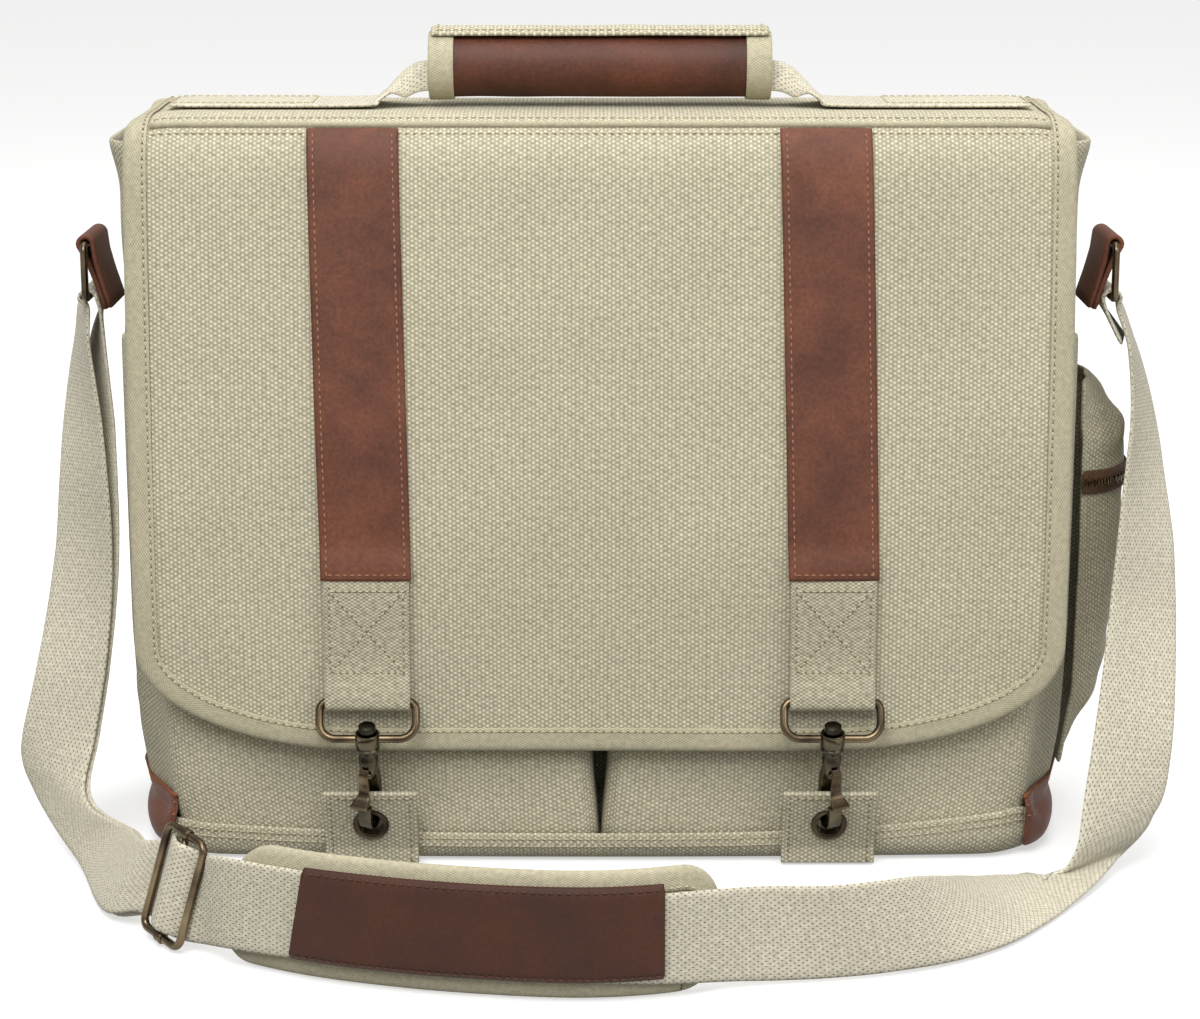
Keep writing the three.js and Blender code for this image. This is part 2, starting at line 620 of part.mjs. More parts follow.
function snapHook(frame) {
  const { inner, outer, bendZ, tipZ, noseZ, wide } = HOOK;
  const shape = new THREE.Shape();
  const neck = [[4, 0.6], [6.2, -3], [6.2, -9.2], [2.6, -10.2], [-0.4, -10.6], [-inner, -15]];
  shape.moveTo(-3.2, 0.6);
  neck.forEach(([x, z]) => shape.lineTo(x, z));
  shape.lineTo(-inner, bendZ);
  shape.absarc(0, bendZ, inner, Math.PI, 2 * Math.PI, false);
  shape.lineTo(inner, tipZ);
  shape.lineTo(outer, noseZ);
  shape.lineTo(outer, bendZ);
  shape.absarc(0, bendZ, outer, 0, -Math.PI, true);
  shape.lineTo(-outer, -12.4);
  shape.lineTo(-3.2, -7);
  const slot = new THREE.BoxGeometry(9, GATE.slotWide, 7.4).translate(GATE.x + 1.5, 0, GATE.z + 0.2);
  const pin = bar(vec(GATE.x, -wide / 2 + 0.2, GATE.z), vec(GATE.x, wide / 2 - 0.2, GATE.z), GATE.pin, 10);
  let hook = solid(alongY(shape, wide, 8)).subtract(solid(slot)).add(solid(pin));
  hook = hook.add(solid(upright(0, COLLAR.height, COLLAR.radius, 14)));
  hook = hook.add(solid(upright(-0.5, RIVET.z0 + 1, SHANK.radius, 12)));
  hook = hook.add(solid(upright(RIVET.z0, RIVET.z1, RIVET.radius, 12)));
  return geometryOf(hook).applyMatrix4(frame);
}

function snapGate(frame) {
  const eye = new THREE.Shape();
  eye.moveTo(GATE.x + GATE.eye, GATE.z);
  eye.absarc(GATE.x, GATE.z, GATE.eye, 0, Math.PI, false);
  eye.lineTo(2.6, -12.6);
  eye.lineTo(5.8, -12.6);
  const hole = new THREE.Path();
  hole.absarc(GATE.x, GATE.z, GATE.hole, 0, 2 * Math.PI, true);
  eye.holes.push(hole);
  const arm = new THREE.Shape();
  const outlinePoints = [
    [2.4, -11.6], [6.2, -11.6], [6.9, -15], [12.2, -17.4], [12.2, -19.6], [6.9, -19.2], [3.5, -15.6],
  ];
  outlinePoints.forEach(([x, z], i) => (i ? arm.lineTo(x, z) : arm.moveTo(x, z)));
  const gate = solid(alongY(eye, GATE.eyeWide, 6)).add(solid(alongY(arm, GATE.wide, 1)));
  return geometryOf(gate).applyMatrix4(frame);
}

// Canvas catch tab with its eyelet
function eyeletFrame(x) {
  const slope = rowAt(CATCH_ROWS, EYELET.z);
  const [low, high] = CATCH_ROWS.slice(1);
  const tilt = Math.atan2(low.y - high.y, high.z - low.z);
  const turn = new THREE.Matrix4().makeRotationX(tilt);
  return turn.setPosition(x, slope.y - CATCH.thick / 2 / Math.cos(tilt), EYELET.z);
}
function catchTab(x) {
  const shape = new THREE.Shape();
  const rear = CATCH_ROWS.map(({ y, z }) => [y, z]);
  const face = CATCH_ROWS.map(({ y, z }) => [y - CATCH.thick, z]).reverse();
  [...rear, ...face].forEach(([y, z], i) => (i ? shape.lineTo(y, z) : shape.moveTo(y, z)));
  const sheet = solid(alongX(shape, x - CATCH.wide / 2, x + CATCH.wide / 2, 1));
  const bore = bar(vec(0, -9, 0), vec(0, 9, 0), EYELET.barrel + GAP, 18).applyMatrix4(eyeletFrame(x));
  return geometryOf(sheet.subtract(solid(bore)));
}
function eyelet(x) {
  const seat = CATCH.thick / 2 + GAP;
  const { hole, barrel, front, rear, lip } = EYELET;
  const profile = [
    [hole, -seat - lip], [front - 0.8, -seat - lip], [front, -seat], [barrel, -seat], [barrel, seat],
    [rear, seat], [rear, seat + lip], [hole, seat + lip], [hole, -seat - lip],
  ].map(([r, h]) => new THREE.Vector2(r, h));
  const ring = new THREE.LatheGeometry(profile, 18);
  return geometryOf(solid(ring)).applyMatrix4(eyeletFrame(x));
}

// Handle webbing across the top, grip, its canvas ends and cover
function handleStrap() {
  const flapTop = Math.max(...flapStations.map((s) => flapPoint(0, s, FLAP.thick / 2).z));
  const seat = flapTop + GAP + WEBBING / 2;
  const rows = [...HANDLE_ROWS, ...HANDLE_ROWS.map((row) => ({ ...row, x: -row.x })).reverse()];
  const rings = rows.map(({ x, rise, wide }, i) => {
    const ahead = rows[Math.min(rows.length - 1, i + 1)];
    const behind = rows[Math.max(0, i - 1)];
    const slope = Math.atan2(ahead.rise - behind.rise, ahead.x - behind.x);
    const normal = vec(-Math.sin(slope), 0, Math.cos(slope)).multiplyScalar(WEBBING / 2);
    const ends = [HANDLE_Y - wide / 2, HANDLE_Y + wide / 2].map((y) => vec(x, y, seat + rise));
    return [...ends.map((p) => p.clone().add(normal)), ...ends.reverse().map((p) => p.clone().sub(normal))];
  });
  return loft(rings, 'strip');
}
function handleGrip() {
  const shape = new THREE.Shape();
  shape.absarc(HANDLE_Y, GRIP.z, GRIP.radius, 0, 2 * Math.PI, false);
  const slot = new THREE.Path();
  const [w, h] = [GRIP.slotWide / 2, GRIP.slotHigh / 2];
  [[-w, -h], [-w, h], [w, h], [w, -h]].forEach(([y, z], i) =>
    (i ? slot.lineTo(HANDLE_Y + y, GRIP.z + z) : slot.moveTo(HANDLE_Y + y, GRIP.z + z)));
  shape.holes.push(slot);
  return alongX(shape, -GRIP.half, GRIP.half, 9);
}
function gripArc(near, far, start, end, x0, x1) {
  const shape = new THREE.Shape();
  shape.absarc(HANDLE_Y, GRIP.z, far, rad(start), rad(end), false);
  shape.absarc(HANDLE_Y, GRIP.z, near, rad(end), rad(start), true);
  return alongX(shape, x0, x1, 9);
}

// Leather tab and wire ring at one side of the bag
function ringTab(sign) {
  const axis = (x, z, reach) => [vec(x, -reach, z), vec(x, reach, z)];
  const x = sign * RING.x;
  const root = vec(sign * RING_TAB.rootX, 0, RING_TAB.rootZ);
  const along = root.clone().sub(vec(x, 0, RING.top));
  const plate = new THREE.BoxGeometry(RING_TAB.plate, RING_TAB.wide, along.length());
  plate.applyMatrix4(new THREE.Matrix4().makeRotationY(Math.atan2(along.x, along.z)));
  const middle = root.clone().addScaledVector(along, -0.5);
  plate.translate(middle.x, 0, middle.z);
  const sleeve = bar(...axis(x, RING.top, RING_TAB.wide / 2), RING_TAB.sleeve, 14);
  const bore = bar(...axis(x, RING.top, RING_TAB.wide), RING_TAB.hole, 12);
  return geometryOf(solid(plate).add(solid(sleeve)).subtract(solid(bore)));
}
function sideRing(sign) {
  const path = roundedPath(RING.half, RING.low, RING.top, RING.corner, RING.corner, 3);
  const points = path.map(([y, z]) => vec(sign * RING.x, y, z));
  return wireRing(points, vec(1, 0, 0), RING_WIRE, 8);
}

// Shoulder strap: one band from the slider's bar, over the left ring, through the pad, to the right ring
function turnOverBar(sign, from, to) {
  return Array.from({ length: TURN_STEPS }, (_, i) => {
    const angle = lerp(from, to, (i + 1) / (TURN_STEPS + 1)) * Math.PI;
    const x = sign * RING.x + TURN_RADIUS * Math.cos(angle);
    return { x, y: 0, z: RING.low - 1 + TURN_RADIUS * Math.sin(angle), across: [0, 1, 0] };
  });
}
function strapFrames(rows) {
  return rows.map(({ x, y, z, across, span = WEBBING_WIDTH }, i) => {
    const middle = vec(x, y, z);
    const ahead = rows[Math.min(rows.length - 1, i + 1)];
    const behind = rows[Math.max(0, i - 1)];
    const along = vec(ahead.x - behind.x, ahead.y - behind.y, ahead.z - behind.z).normalize();
    const reach = vec(...across).normalize();
    return { middle, along, reach, span, normal: reach.clone().cross(along).normalize() };
  });
}
const plainRow = ({ middle, reach, span }, shift) => {
  const { x, y, z } = middle.clone().add(shift);
  return { x, y, z, across: reach.toArray(), span };
};
function sliderFrame() {
  const rows = [STRAP_LEFT.at(-1), STRAP_SLIDER, STRAP_FRONT[0]];
  const frame = strapFrames(rows)[1];
  frame.along = frame.normal.clone().cross(frame.reach).normalize();
  return frame;
}
function spareLayer(rows, gaps) {
  return strapFrames(rows).map((frame, i) => {
    const gap = gaps[Math.min(i, gaps.length - 1)];
    return plainRow(frame, frame.normal.clone().multiplyScalar(-gap));
  });
}
function shoulderStrap() {
  const frame = sliderFrame();
  const weave = [[-1, -1], [-0.5, 0.2], [0, 1], [0.5, 0.2], [1, -1]].map(([along, lift]) => plainRow(frame,
    frame.along.clone().multiplyScalar(along * SLIDER.reach)
      .addScaledVector(frame.normal, lift * SLIDER.weave)));
  const sewn = plainRow(frame, frame.along.clone().multiplyScalar(-1)
    .addScaledVector(frame.normal, -SLIDER.bar - WEBBING / 2 - GAP));
  const under = plainRow(frame, frame.along.clone().multiplyScalar(-SLIDER.reach - 1)
    .addScaledVector(frame.normal, -SLIDER.weave - WEBBING - 1));
  const back = spareLayer(STRAP_LEFT, SPARE_LAYER).slice(1).reverse();
  const ending = spareLayer([...STRAP_RIGHT].reverse(), [0, -3, -2.4, -2.4]).slice(1, 1 + SEWN_ROWS);
  const rows = [
    sewn, under, ...back,
    { x: -RING.x + TURN_RADIUS, y: 0, z: RING.low - 1, across: [0, 1, 0] },
    ...turnOverBar(-1, 0, 1),
    ...STRAP_LEFT, ...weave, ...STRAP_FRONT, ...STRAP_RIGHT,
    ...turnOverBar(1, 0, 1),
    { x: RING.x - TURN_RADIUS, y: 0, z: RING.low - 1, across: [0, 1, 0] },
    ...ending,
  ];
  const rings = strapFrames(rows).map(({ middle, reach, span, normal }) => {
    const half = reach.clone().multiplyScalar(span / 2);
    const lift = normal.clone().multiplyScalar(WEBBING / 2);
    return [[-1, 1], [1, 1], [1, -1], [-1, -1]].map(([side, face]) =>
      middle.clone().addScaledVector(half, side).addScaledVector(lift, face));
  });
  return loft(rings, 'strip');
}

// Slider on the strap: wire frame with a bar across its middle
function slider() {
  const { middle, reach, along, normal } = sliderFrame();
  const path = roundedPath(SLIDER.half, -SLIDER.reach, SLIDER.reach, SLIDER.corner, SLIDER.corner, 3);
  const points = path.map(([across, forward]) =>
    middle.clone().addScaledVector(reach, across).addScaledVector(along, forward));
  const frame = solid(wireRing(points, normal, SLIDER.wire, 8));
  const ends = [-1, 1].map((sign) => middle.clone().addScaledVector(reach, sign * SLIDER.half));
  return geometryOf(frame.add(solid(bar(...ends, SLIDER.bar, 8))));
}

// Shoulder pad behind the strap and leather patch in front of it
function padNormals() {
  return PAD_PATH.map((row, i) => {
    const ahead = PAD_PATH[Math.min(PAD_PATH.length - 1, i + 1)];
    const behind = PAD_PATH[Math.max(0, i - 1)];
    return vec(ahead.y - behind.y, behind.x - ahead.x, 0).normalize();
  });
}
function shoulderPad() {
  const normals = padNormals();
  const shift = -(WEBBING + PAD.thick) / 2 - PAD.gap;
  const [half, soft] = [PAD.thick / 2, PAD.thick / 4];
  const rings = PAD_PATH.map(({ x, y, trim }, i) => {
    const [low, high] = [PAD.low + trim, PAD.high - trim];
    const section = [
      [-half, low + half], [-soft, low], [soft, low], [half, low + half],
      [half, high - half], [soft, high], [-soft, high], [-half, high - half],
    ];
    return section.map(([lift, z]) => vec(x, y, z).addScaledVector(normals[i], shift + lift));
  });
  return loft(rings, 'fan');
}
function padPatch() {
  const normals = padNormals();
  const near = WEBBING / 2 + GAP;
  const rings = PAD_PATH.map(({ x, y }, i) => [near, near + PATCH.thick].flatMap((lift, side) => {
    const ends = [PATCH.low, PATCH.high].map((z) => vec(x, y, z).addScaledVector(normals[i], lift));
    return side ? ends.reverse() : ends;
  })).slice(PATCH.first, PATCH.last + 1);
  return loft(rings, 'strip');
}

// The whole bag
place('main_body', mainBody(), canvas());
place('base', baseTray(), canvas());
place('side_pocket', sidePocket(), canvas());
place('side_zip_tape', zipStrip(ZIP.tape, GAP, GAP + ZIP.thick), finish('#4d3a2d', 0.9, 0));
place('side_zip_teeth', zipStrip(ZIP.teeth, 2 * GAP + ZIP.thick, 2 * (GAP + ZIP.thick)), brass());
place('flap', flapSheet(), canvas());
place('flap_binding', flapBinding(), canvas());
const strapStart = flapStationAt(STRAP_TOP_Z);
const strapEnd = flapStationAt(LEATHER_END_Z);
for (const { name, sign } of sides) {
  const x = sign * STRAP_X;
  const lift = FLAP.thick / 2 + GAP;
  const frame = snapFrame(sign);
  place(`front_pocket_${name}`, frontPocket(sign), canvas());
  place(`leather_corner_${name}`, leatherCorner(sign), leather());
  const patch = flapPatch(x, LEATHER_WIDTH, strapStart, strapEnd, lift, lift + LEATHER);
  place(`flap_strap_${name}`, patch, leather());
  place(`webbing_tab_${name}`, webbingTab(x), webbing());
  place(`snap_loop_${name}`, snapLoop(sign, frame), brass());
  place(`snap_hook_${name}`, snapHook(frame), brass());
  place(`snap_gate_${name}`, snapGate(frame), brass());
  place(`catch_tab_${name}`, catchTab(x), canvas());
  place(`eyelet_${name}`, eyelet(x), brass());
  place(`ring_tab_${name}`, ringTab(sign), leather());
  place(`side_ring_${name}`, sideRing(sign), brass());
  const ends = [GRIP.half - CUFF.long, GRIP.half].map((end) => sign * end).sort((a, b) => a - b);
  const cuff = GRIP.radius + GAP;
  place(`handle_cuff_${name}`, geometryOf(solid(gripArc(cuff, cuff + CUFF.thick, 0, 180, ...ends))
    .add(solid(gripArc(cuff, cuff + CUFF.thick, 180, 360, ...ends)))), canvas());
}
place('handle_strap', handleStrap(), webbing());
place('handle_grip', handleGrip(), leather());
const coverRadius = GRIP.radius + 2 * GAP + CUFF.thick;
place('handle_cover', gripArc(coverRadius, coverRadius + COVER.thick, COVER.back, COVER.front, -COVER.half,
  COVER.half), canvas());
place('shoulder_strap', shoulderStrap(), webbing());
place('strap_slider', slider(), brass());
place('shoulder_pad', shoulderPad(), canvas());
place('pad_patch', padPatch(), leather());

export default bag;
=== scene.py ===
# Canvas laptop bag with leather trim: its looks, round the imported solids.
# Tables are in millimetres, in the frame of the solids: +Z up, front towards -Y.
import math

import bmesh
import bpy
from mathutils import Matrix, Vector, noise


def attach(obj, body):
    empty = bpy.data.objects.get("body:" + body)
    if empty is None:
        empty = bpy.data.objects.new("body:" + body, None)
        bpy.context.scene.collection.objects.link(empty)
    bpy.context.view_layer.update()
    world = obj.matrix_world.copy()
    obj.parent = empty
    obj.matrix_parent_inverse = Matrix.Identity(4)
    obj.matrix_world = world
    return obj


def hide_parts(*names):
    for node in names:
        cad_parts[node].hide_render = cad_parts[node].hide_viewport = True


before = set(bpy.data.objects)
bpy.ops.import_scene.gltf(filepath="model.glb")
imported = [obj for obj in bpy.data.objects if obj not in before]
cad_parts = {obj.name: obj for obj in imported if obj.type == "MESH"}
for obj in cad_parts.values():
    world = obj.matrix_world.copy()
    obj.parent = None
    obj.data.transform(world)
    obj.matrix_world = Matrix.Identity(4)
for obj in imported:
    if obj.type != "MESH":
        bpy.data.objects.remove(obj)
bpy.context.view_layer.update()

MM = 0.001
SIDES = (("left", -1), ("right", 1))


def mix(a, b, part):
    return a + (b - a) * part


def clamp(value, low=0.0, high=1.0):
    return max(low, min(high, value))


def ease(value, low, high):
    part = clamp((value - low) / (high - low))
    return part * part * (3 - 2 * part)


# Materials: their patterns are sized in millimetres, from the threads and grain seen on the bag
DRIFT_SIZE, YARN_DRIFT, SLUB_SIZE, FADE_SIZE = 9, 0.35, 2.2, 55
GRAIN_RELIEF, PORE_SIZE, TONE_SIZE = 0.12, 1.6, 38
RUB_SIZE = 16
# The twist of a thread is finer than this, and is drawn as coarse as it needs to show
TWIST_SIZE = 0.8


def linear(code):
    """Colour given as an sRGB hex value, for the shaders."""
    channels = [int(code[i:i + 2], 16) / 255 for i in (1, 3, 5)]
    return [c / 12.92 if c <= 0.04045 else ((c + 0.055) / 1.055) ** 2.4 for c in channels] + [1.0]


def add(tree, kind, inputs=None, **settings):
    """Adds a node with its settings; inputs are values, or sockets to link."""
    made = tree.nodes.new(kind)
    for key, value in settings.items():
        setattr(made, key, value)
    for key, value in (inputs or {}).items():
        if isinstance(value, bpy.types.NodeSocket):
            tree.links.new(value, made.inputs[key])
        else:
            made.inputs[key].default_value = value
    return made


def begin(name, roughness, **sockets):
    """Starts a material: a shader with what is the same all over its surface."""
    material = bpy.data.materials.new(name)
    material.use_nodes = True
    tree = material.node_tree
    tree.nodes.clear()
    shader = add(tree, "ShaderNodeBsdfPrincipled", {"Roughness": roughness})
    for key, value in sockets.items():
        shader.inputs[key.replace("_", " ")].default_value = value
    add(tree, "ShaderNodeOutputMaterial", {"Surface": shader.outputs["BSDF"]})
    return material, tree, shader


def woven(name, light, dark, yarns, crown, relief, slub=0.35, chevron=0.0, dots=0.0):
    """Cloth of crossing yarns: light crowns where a yarn comes up, dark pits where it dives.

    Yarns are the spacings across and along, and crown is where pits end and full crowns begin.
    """
    across, along = yarns
    low, high = crown
    material, tree, shader = begin(name, 0.92, Sheen_Weight=0.08, Specular_IOR_Level=0.25)
    place = add(tree, "ShaderNodeUVMap", uv_map="cloth").outputs["UV"]
    wander = add(tree, "ShaderNodeTexNoise", {"Vector": place, "Scale": 1 / (DRIFT_SIZE * MM), "Detail": 1.0})
    drift = (YARN_DRIFT * MM, YARN_DRIFT * MM, 0)
    loose = add(tree, "ShaderNodeVectorMath", {0: wander.outputs["Color"], 1: drift, 2: place},
                operation="MULTIPLY_ADD").outputs[0]
    half_turns = (math.pi / (across * MM), math.pi / (along * MM), 0)
    turns = add(tree, "ShaderNodeVectorMath", {0: loose, 1: half_turns}, operation="MULTIPLY").outputs[0]
    axes = add(tree, "ShaderNodeSeparateXYZ", {0: turns})
    warp = add(tree, "ShaderNodeMath", {0: axes.outputs[0]}, operation="SINE").outputs[0]
    bend = add(tree, "ShaderNodeMath", {0: warp}, operation="ABSOLUTE").outputs[0]
    slanted = add(tree, "ShaderNodeMath", {0: bend, 1: chevron, 2: axes.outputs[1]},
                  operation="MULTIPLY_ADD").outputs[0]
    weft = add(tree, "ShaderNodeMath", {0: slanted}, operation="SINE").outputs[0]
    square = add(tree, "ShaderNodeMath", {0: warp, 1: warp}, operation="MULTIPLY").outputs[0]
    columns = add(tree, "ShaderNodeMath", {0: square, 1: 2 * dots, 2: -dots},
                  operation="MULTIPLY_ADD").outputs[0]
    crossing = add(tree, "ShaderNodeMath", {0: warp, 1: weft, 2: columns},
                   operation="MULTIPLY_ADD").outputs[0]
    risen = add(tree, "ShaderNodeMapRange", {0: crossing, 1: low, 2: high},
                interpolation_type="SMOOTHSTEP").outputs[0]
    yarn = add(tree, "ShaderNodeTexNoise", {"Vector": place, "Scale": 1 / (SLUB_SIZE * MM), "Detail": 3.0})
    patchy = add(tree, "ShaderNodeTexNoise", {"Vector": place, "Scale": 1 / (FADE_SIZE * MM), "Detail": 4.0})
    colour = add(tree, "ShaderNodeMix", {0: risen, 6: linear(dark), 7: linear(light)}, data_type="RGBA")
    fleck = add(tree, "ShaderNodeMapRange",
                {0: yarn.outputs[0], 1: 0.3, 2: 0.72, 3: 1 - slub, 4: 1 + slub * 0.35})
    cloud = add(tree, "ShaderNodeMapRange", {0: patchy.outputs[0], 1: 0.3, 2: 0.7, 3: 0.93, 4: 1.04})
    shade = add(tree, "ShaderNodeMath", {0: fleck.outputs[0], 1: cloud.outputs[0]},
                operation="MULTIPLY").outputs[0]
    final = add(tree, "ShaderNodeVectorMath", {0: colour.outputs[2], 3: shade}, operation="SCALE").outputs[0]
    tree.links.new(final, shader.inputs["Base Color"])
    height = add(tree, "ShaderNodeMath", {0: risen, 1: yarn.outputs[0]}, operation="ADD").outputs[0]
    bump = add(tree, "ShaderNodeBump", {"Strength": 0.7, "Distance": relief * MM, "Height": height})
    tree.links.new(bump.outputs[0], shader.inputs["Normal"])
    return material


def hide(name, light, dark, grain, roughness):
    """Cowhide: pebbled grain, fine pores and a cloudy tone."""
    material, tree, shader = begin(name, roughness, Specular_IOR_Level=0.32)
    place = add(tree, "ShaderNodeTexCoord").outputs["Object"]
    pebbles = add(tree, "ShaderNodeTexVoronoi", {"Vector": place, "Scale": 1 / (grain * MM)},
                  feature="DISTANCE_TO_EDGE")
    cloud = add(tree, "ShaderNodeTexNoise",
                {"Vector": place, "Scale": 1 / (TONE_SIZE * MM), "Detail": 5.0, "Roughness": 0.62})
    pores = add(tree, "ShaderNodeTexNoise", {"Vector": place, "Scale": 1 / (PORE_SIZE * MM), "Detail": 3.0})
    tone = add(tree, "ShaderNodeMapRange", {0: cloud.outputs[0], 1: 0.36, 2: 0.64}).outputs[0]
    colour = add(tree, "ShaderNodeMix", {0: tone, 6: linear(dark), 7: linear(light)},
                 data_type="RGBA").outputs[2]
    fleck = add(tree, "ShaderNodeMapRange",
                {0: pores.outputs[0], 1: 0.32, 2: 0.68, 3: 0.76, 4: 1.15}).outputs[0]
    final = add(tree, "ShaderNodeVectorMath", {0: colour, 3: fleck}, operation="SCALE").outputs[0]
    tree.links.new(final, shader.inputs["Base Color"])
    rough = add(tree, "ShaderNodeMapRange", {0: pores.outputs[0], 3: roughness - 0.12, 4: roughness + 0.12})
    tree.links.new(rough.outputs[0], shader.inputs["Roughness"])
    pebble = add(tree, "ShaderNodeMapRange", {0: pebbles.outputs["Distance"], 1: 0.0, 2: 0.12}).outputs[0]
    height = add(tree, "ShaderNodeMath", {0: pebble, 1: pores.outputs[0]}, operation="ADD").outputs[0]
    bump = add(tree, "ShaderNodeBump", {"Strength": 0.35, "Distance": GRAIN_RELIEF * MM, "Height": height})
    tree.links.new(bump.outputs[0], shader.inputs["Normal"])
    return material


def aged(name, bright, dark, roughness):
    """Metal dipped dark and rubbed back: dark patches, and brighter, glossier ones where it was rubbed."""
    material, tree, shader = begin(name, roughness, Metallic=1.0)
    place = add(tree, "ShaderNodeTexCoord").outputs["Object"]
    rub = add(tree, "ShaderNodeTexNoise", {"Vector": place, "Scale": 1 / (RUB_SIZE * MM), "Detail": 2.0})
    part = add(tree, "ShaderNodeMapRange", {0: rub.outputs[0], 1: 0.3, 2: 0.7}).outputs[0]
    colour = add(tree, "ShaderNodeMix", {0: part, 6: linear(dark), 7: linear(bright)},
                 data_type="RGBA").outputs[2]
    tree.links.new(colour, shader.inputs["Base Color"])
    rough = add(tree, "ShaderNodeMapRange", {0: part, 3: roughness + 0.06, 4: roughness - 0.04}).outputs[0]
    tree.links.new(rough, shader.inputs["Roughness"])
    return material


def thread(name, light, dark):
    """Spun sewing thread: short light and dark flecks of its twist."""
    material, tree, shader = begin(name, 0.85)
    place = add(tree, "ShaderNodeTexCoord").outputs["Object"]
    twist = add(tree, "ShaderNodeTexNoise",
                {"Vector": place, "Scale": 1 / (TWIST_SIZE * MM), "Detail": 1.0}).outputs[0]
    colour = add(tree, "ShaderNodeMix", {0: twist, 6: linear(dark), 7: linear(light)},
                 data_type="RGBA").outputs[2]
    tree.links.new(colour, shader.inputs["Base Color"])
    return material


# Coarse cotton canvas in a plain weave of thick yarns: pale round crowns in staggered rows
CANVAS = woven("cotton_canvas", "#ded7bf", "#aba48a", (1.67, 0.98), (-0.5, 1.15), relief=0.24, slub=0.28,
               dots=0.45)
# Binding tape of thin canvas, folded and pressed: a close, even weave a little darker than the panels
BINDING = woven("canvas_binding_tape", "#c4bda4", "#a79f82", (0.95, 0.55), (-0.6, 0.6), relief=0.12, slub=0.2)
# Cotton webbing in a herringbone weave: a pale, smooth face with rows of small dark slits
WEBBING = woven("cotton_webbing", "#cfc8b3", "#7d745c", (1.05, 1.6), (-1.0, -0.42), relief=0.3, slub=0.25,
                chevron=1.5)
# Webbing of the snap tabs, in a plain weave: finer crowns than the canvas, and greyer
TAB_WEB = woven("tab_webbing", "#cdc6ae", "#9c957c", (1.25, 0.75), (-0.5, 0.7), relief=0.2)
# Polyester zip tape: a flat brown weave, drawn coarser than its threads so that it shows
ZIP_TAPE = woven("zip_tape", "#735643", "#45321f", (0.7, 0.7), (-0.6, 0.5), relief=0.1)
# Oiled leather of straps, corners and ring tabs: red-brown and half matt, with darker clouds
STRAP_LEATHER = hide("oiled_strap_leather", "#70422e", "#532e20", grain=1.0, roughness=0.56)
# The same leather where hands hold it: darker, and smoother in its shine
GRIP_LEATHER = hide("handled_grip_leather", "#5f3423", "#45251a", grain=1.0, roughness=0.5)
# Chocolate-dyed leather of the pad's patch: nearly even in tone, and dull
PAD_LEATHER = hide("dark_pad_leather", "#462515", "#381c10", grain=0.9, roughness=0.62)
# Cut edge of the leather, undyed inside: a lighter, orange and fibrous line
CUT_EDGE = hide("raw_leather_edge", "#8a4f2b", "#5f331c", grain=0.8, roughness=0.75)
# Brass wire, darkened and rubbed back: olive brown, with bright lines where it curves
BRASS = aged("antique_brass", "#7b6b52", "#3b332a", roughness=0.27)
# Cast bronze of the hooks, blackened: nearly black, with sharp small highlights
HOOK_BRONZE = aged("dark_bronze", "#655c49", "#2a2722", roughness=0.22)
# Steel of the swivel's rivet, blackened: a dull black head
RIVET = aged("blackened_rivet_steel", "#39342d", "#1c1916", roughness=0.32)
# Pressed bronze of the eyelets: dark brown, with a soft ring of light
EYELET_BRONZE = aged("brown_bronze", "#4f4335", "#28221c", roughness=0.26)
# Cotton sewing threads in the tone of what they sew, and dark dots of painted shade where the needle leaves
# its holes
CLOTH_THREAD = thread("khaki_thread", "#cdc5a6", "#a0977a")
LEATHER_THREAD = thread("tan_thread", "#a97c5e", "#76492f")
PATCH_THREAD = thread("brown_thread", "#5d3a26", "#3d2418")
NEEDLE_HOLE_SHADE = thread("needle_holes", "#7d7459", "#5a533e")


# Building: walls of the sheets, and how near two points are one
CANVAS_WALL, WEB_WALL, TAPE_WALL, LEATHER_WALL = 2, 1.8, 0.9, 2
MERGE = 0.001


def keep(name, bm, material, nodes=(), slot="canvas", body="bag", smooth=True):
    """Makes a piece of a shape, rides it on its body and hides the solids that it stands in for."""
    mesh = bpy.data.meshes.new(name)
    bm.to_mesh(mesh)
    bm.free()
    piece = bpy.data.objects.new(name, mesh)
    bpy.context.scene.collection.objects.link(piece)
    mesh.materials.append(material)
    if smooth:
        mesh.shade_smooth()
    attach(piece, body)
    if nodes:
        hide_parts(*nodes)
    return piece


def soften(piece, wall=0, levels=1, crisp=0.0):
    """Gives a sheet its wall, and rounds the edges that aren't kept crisp."""
    if wall:
        solid = piece.modifiers.new("wall", "SOLIDIFY")
        solid.thickness = wall * MM
        solid.offset = 0.0
        solid.use_even_offset = True
        solid.edge_crease_outer = solid.edge_crease_inner = solid.edge_crease_rim = crisp
    if levels:
        soft = piece.modifiers.new("soft", "SUBSURF")
        soft.levels = levels
        soft.render_levels = levels
    return piece


def cloth(name, columns, rows, shape, material, wall=0, levels=1, joined=False, crisp=0.0, **kept):
    """Grid bent to shape(u, v), which gives a place in space and its place on the flat cloth."""
    bm = bmesh.new()
    flat = bm.loops.layers.uv.new("cloth")
    bmesh.ops.create_grid(bm, x_segments=columns, y_segments=rows, size=0.5)
    laid = {}
    for vert in bm.verts:
        place, laid[vert] = shape(vert.co.x + 0.5, vert.co.y + 0.5)
        vert.co = Vector(place) * MM
    for face in bm.faces:
        for loop in face.loops:
            loop[flat].uv = Vector(laid[loop.vert]) * MM
    if joined:
        bmesh.ops.remove_doubles(bm, verts=bm.verts, dist=10 * MERGE * MM)
    return soften(keep(name, bm, material, **kept), wall, levels, crisp)


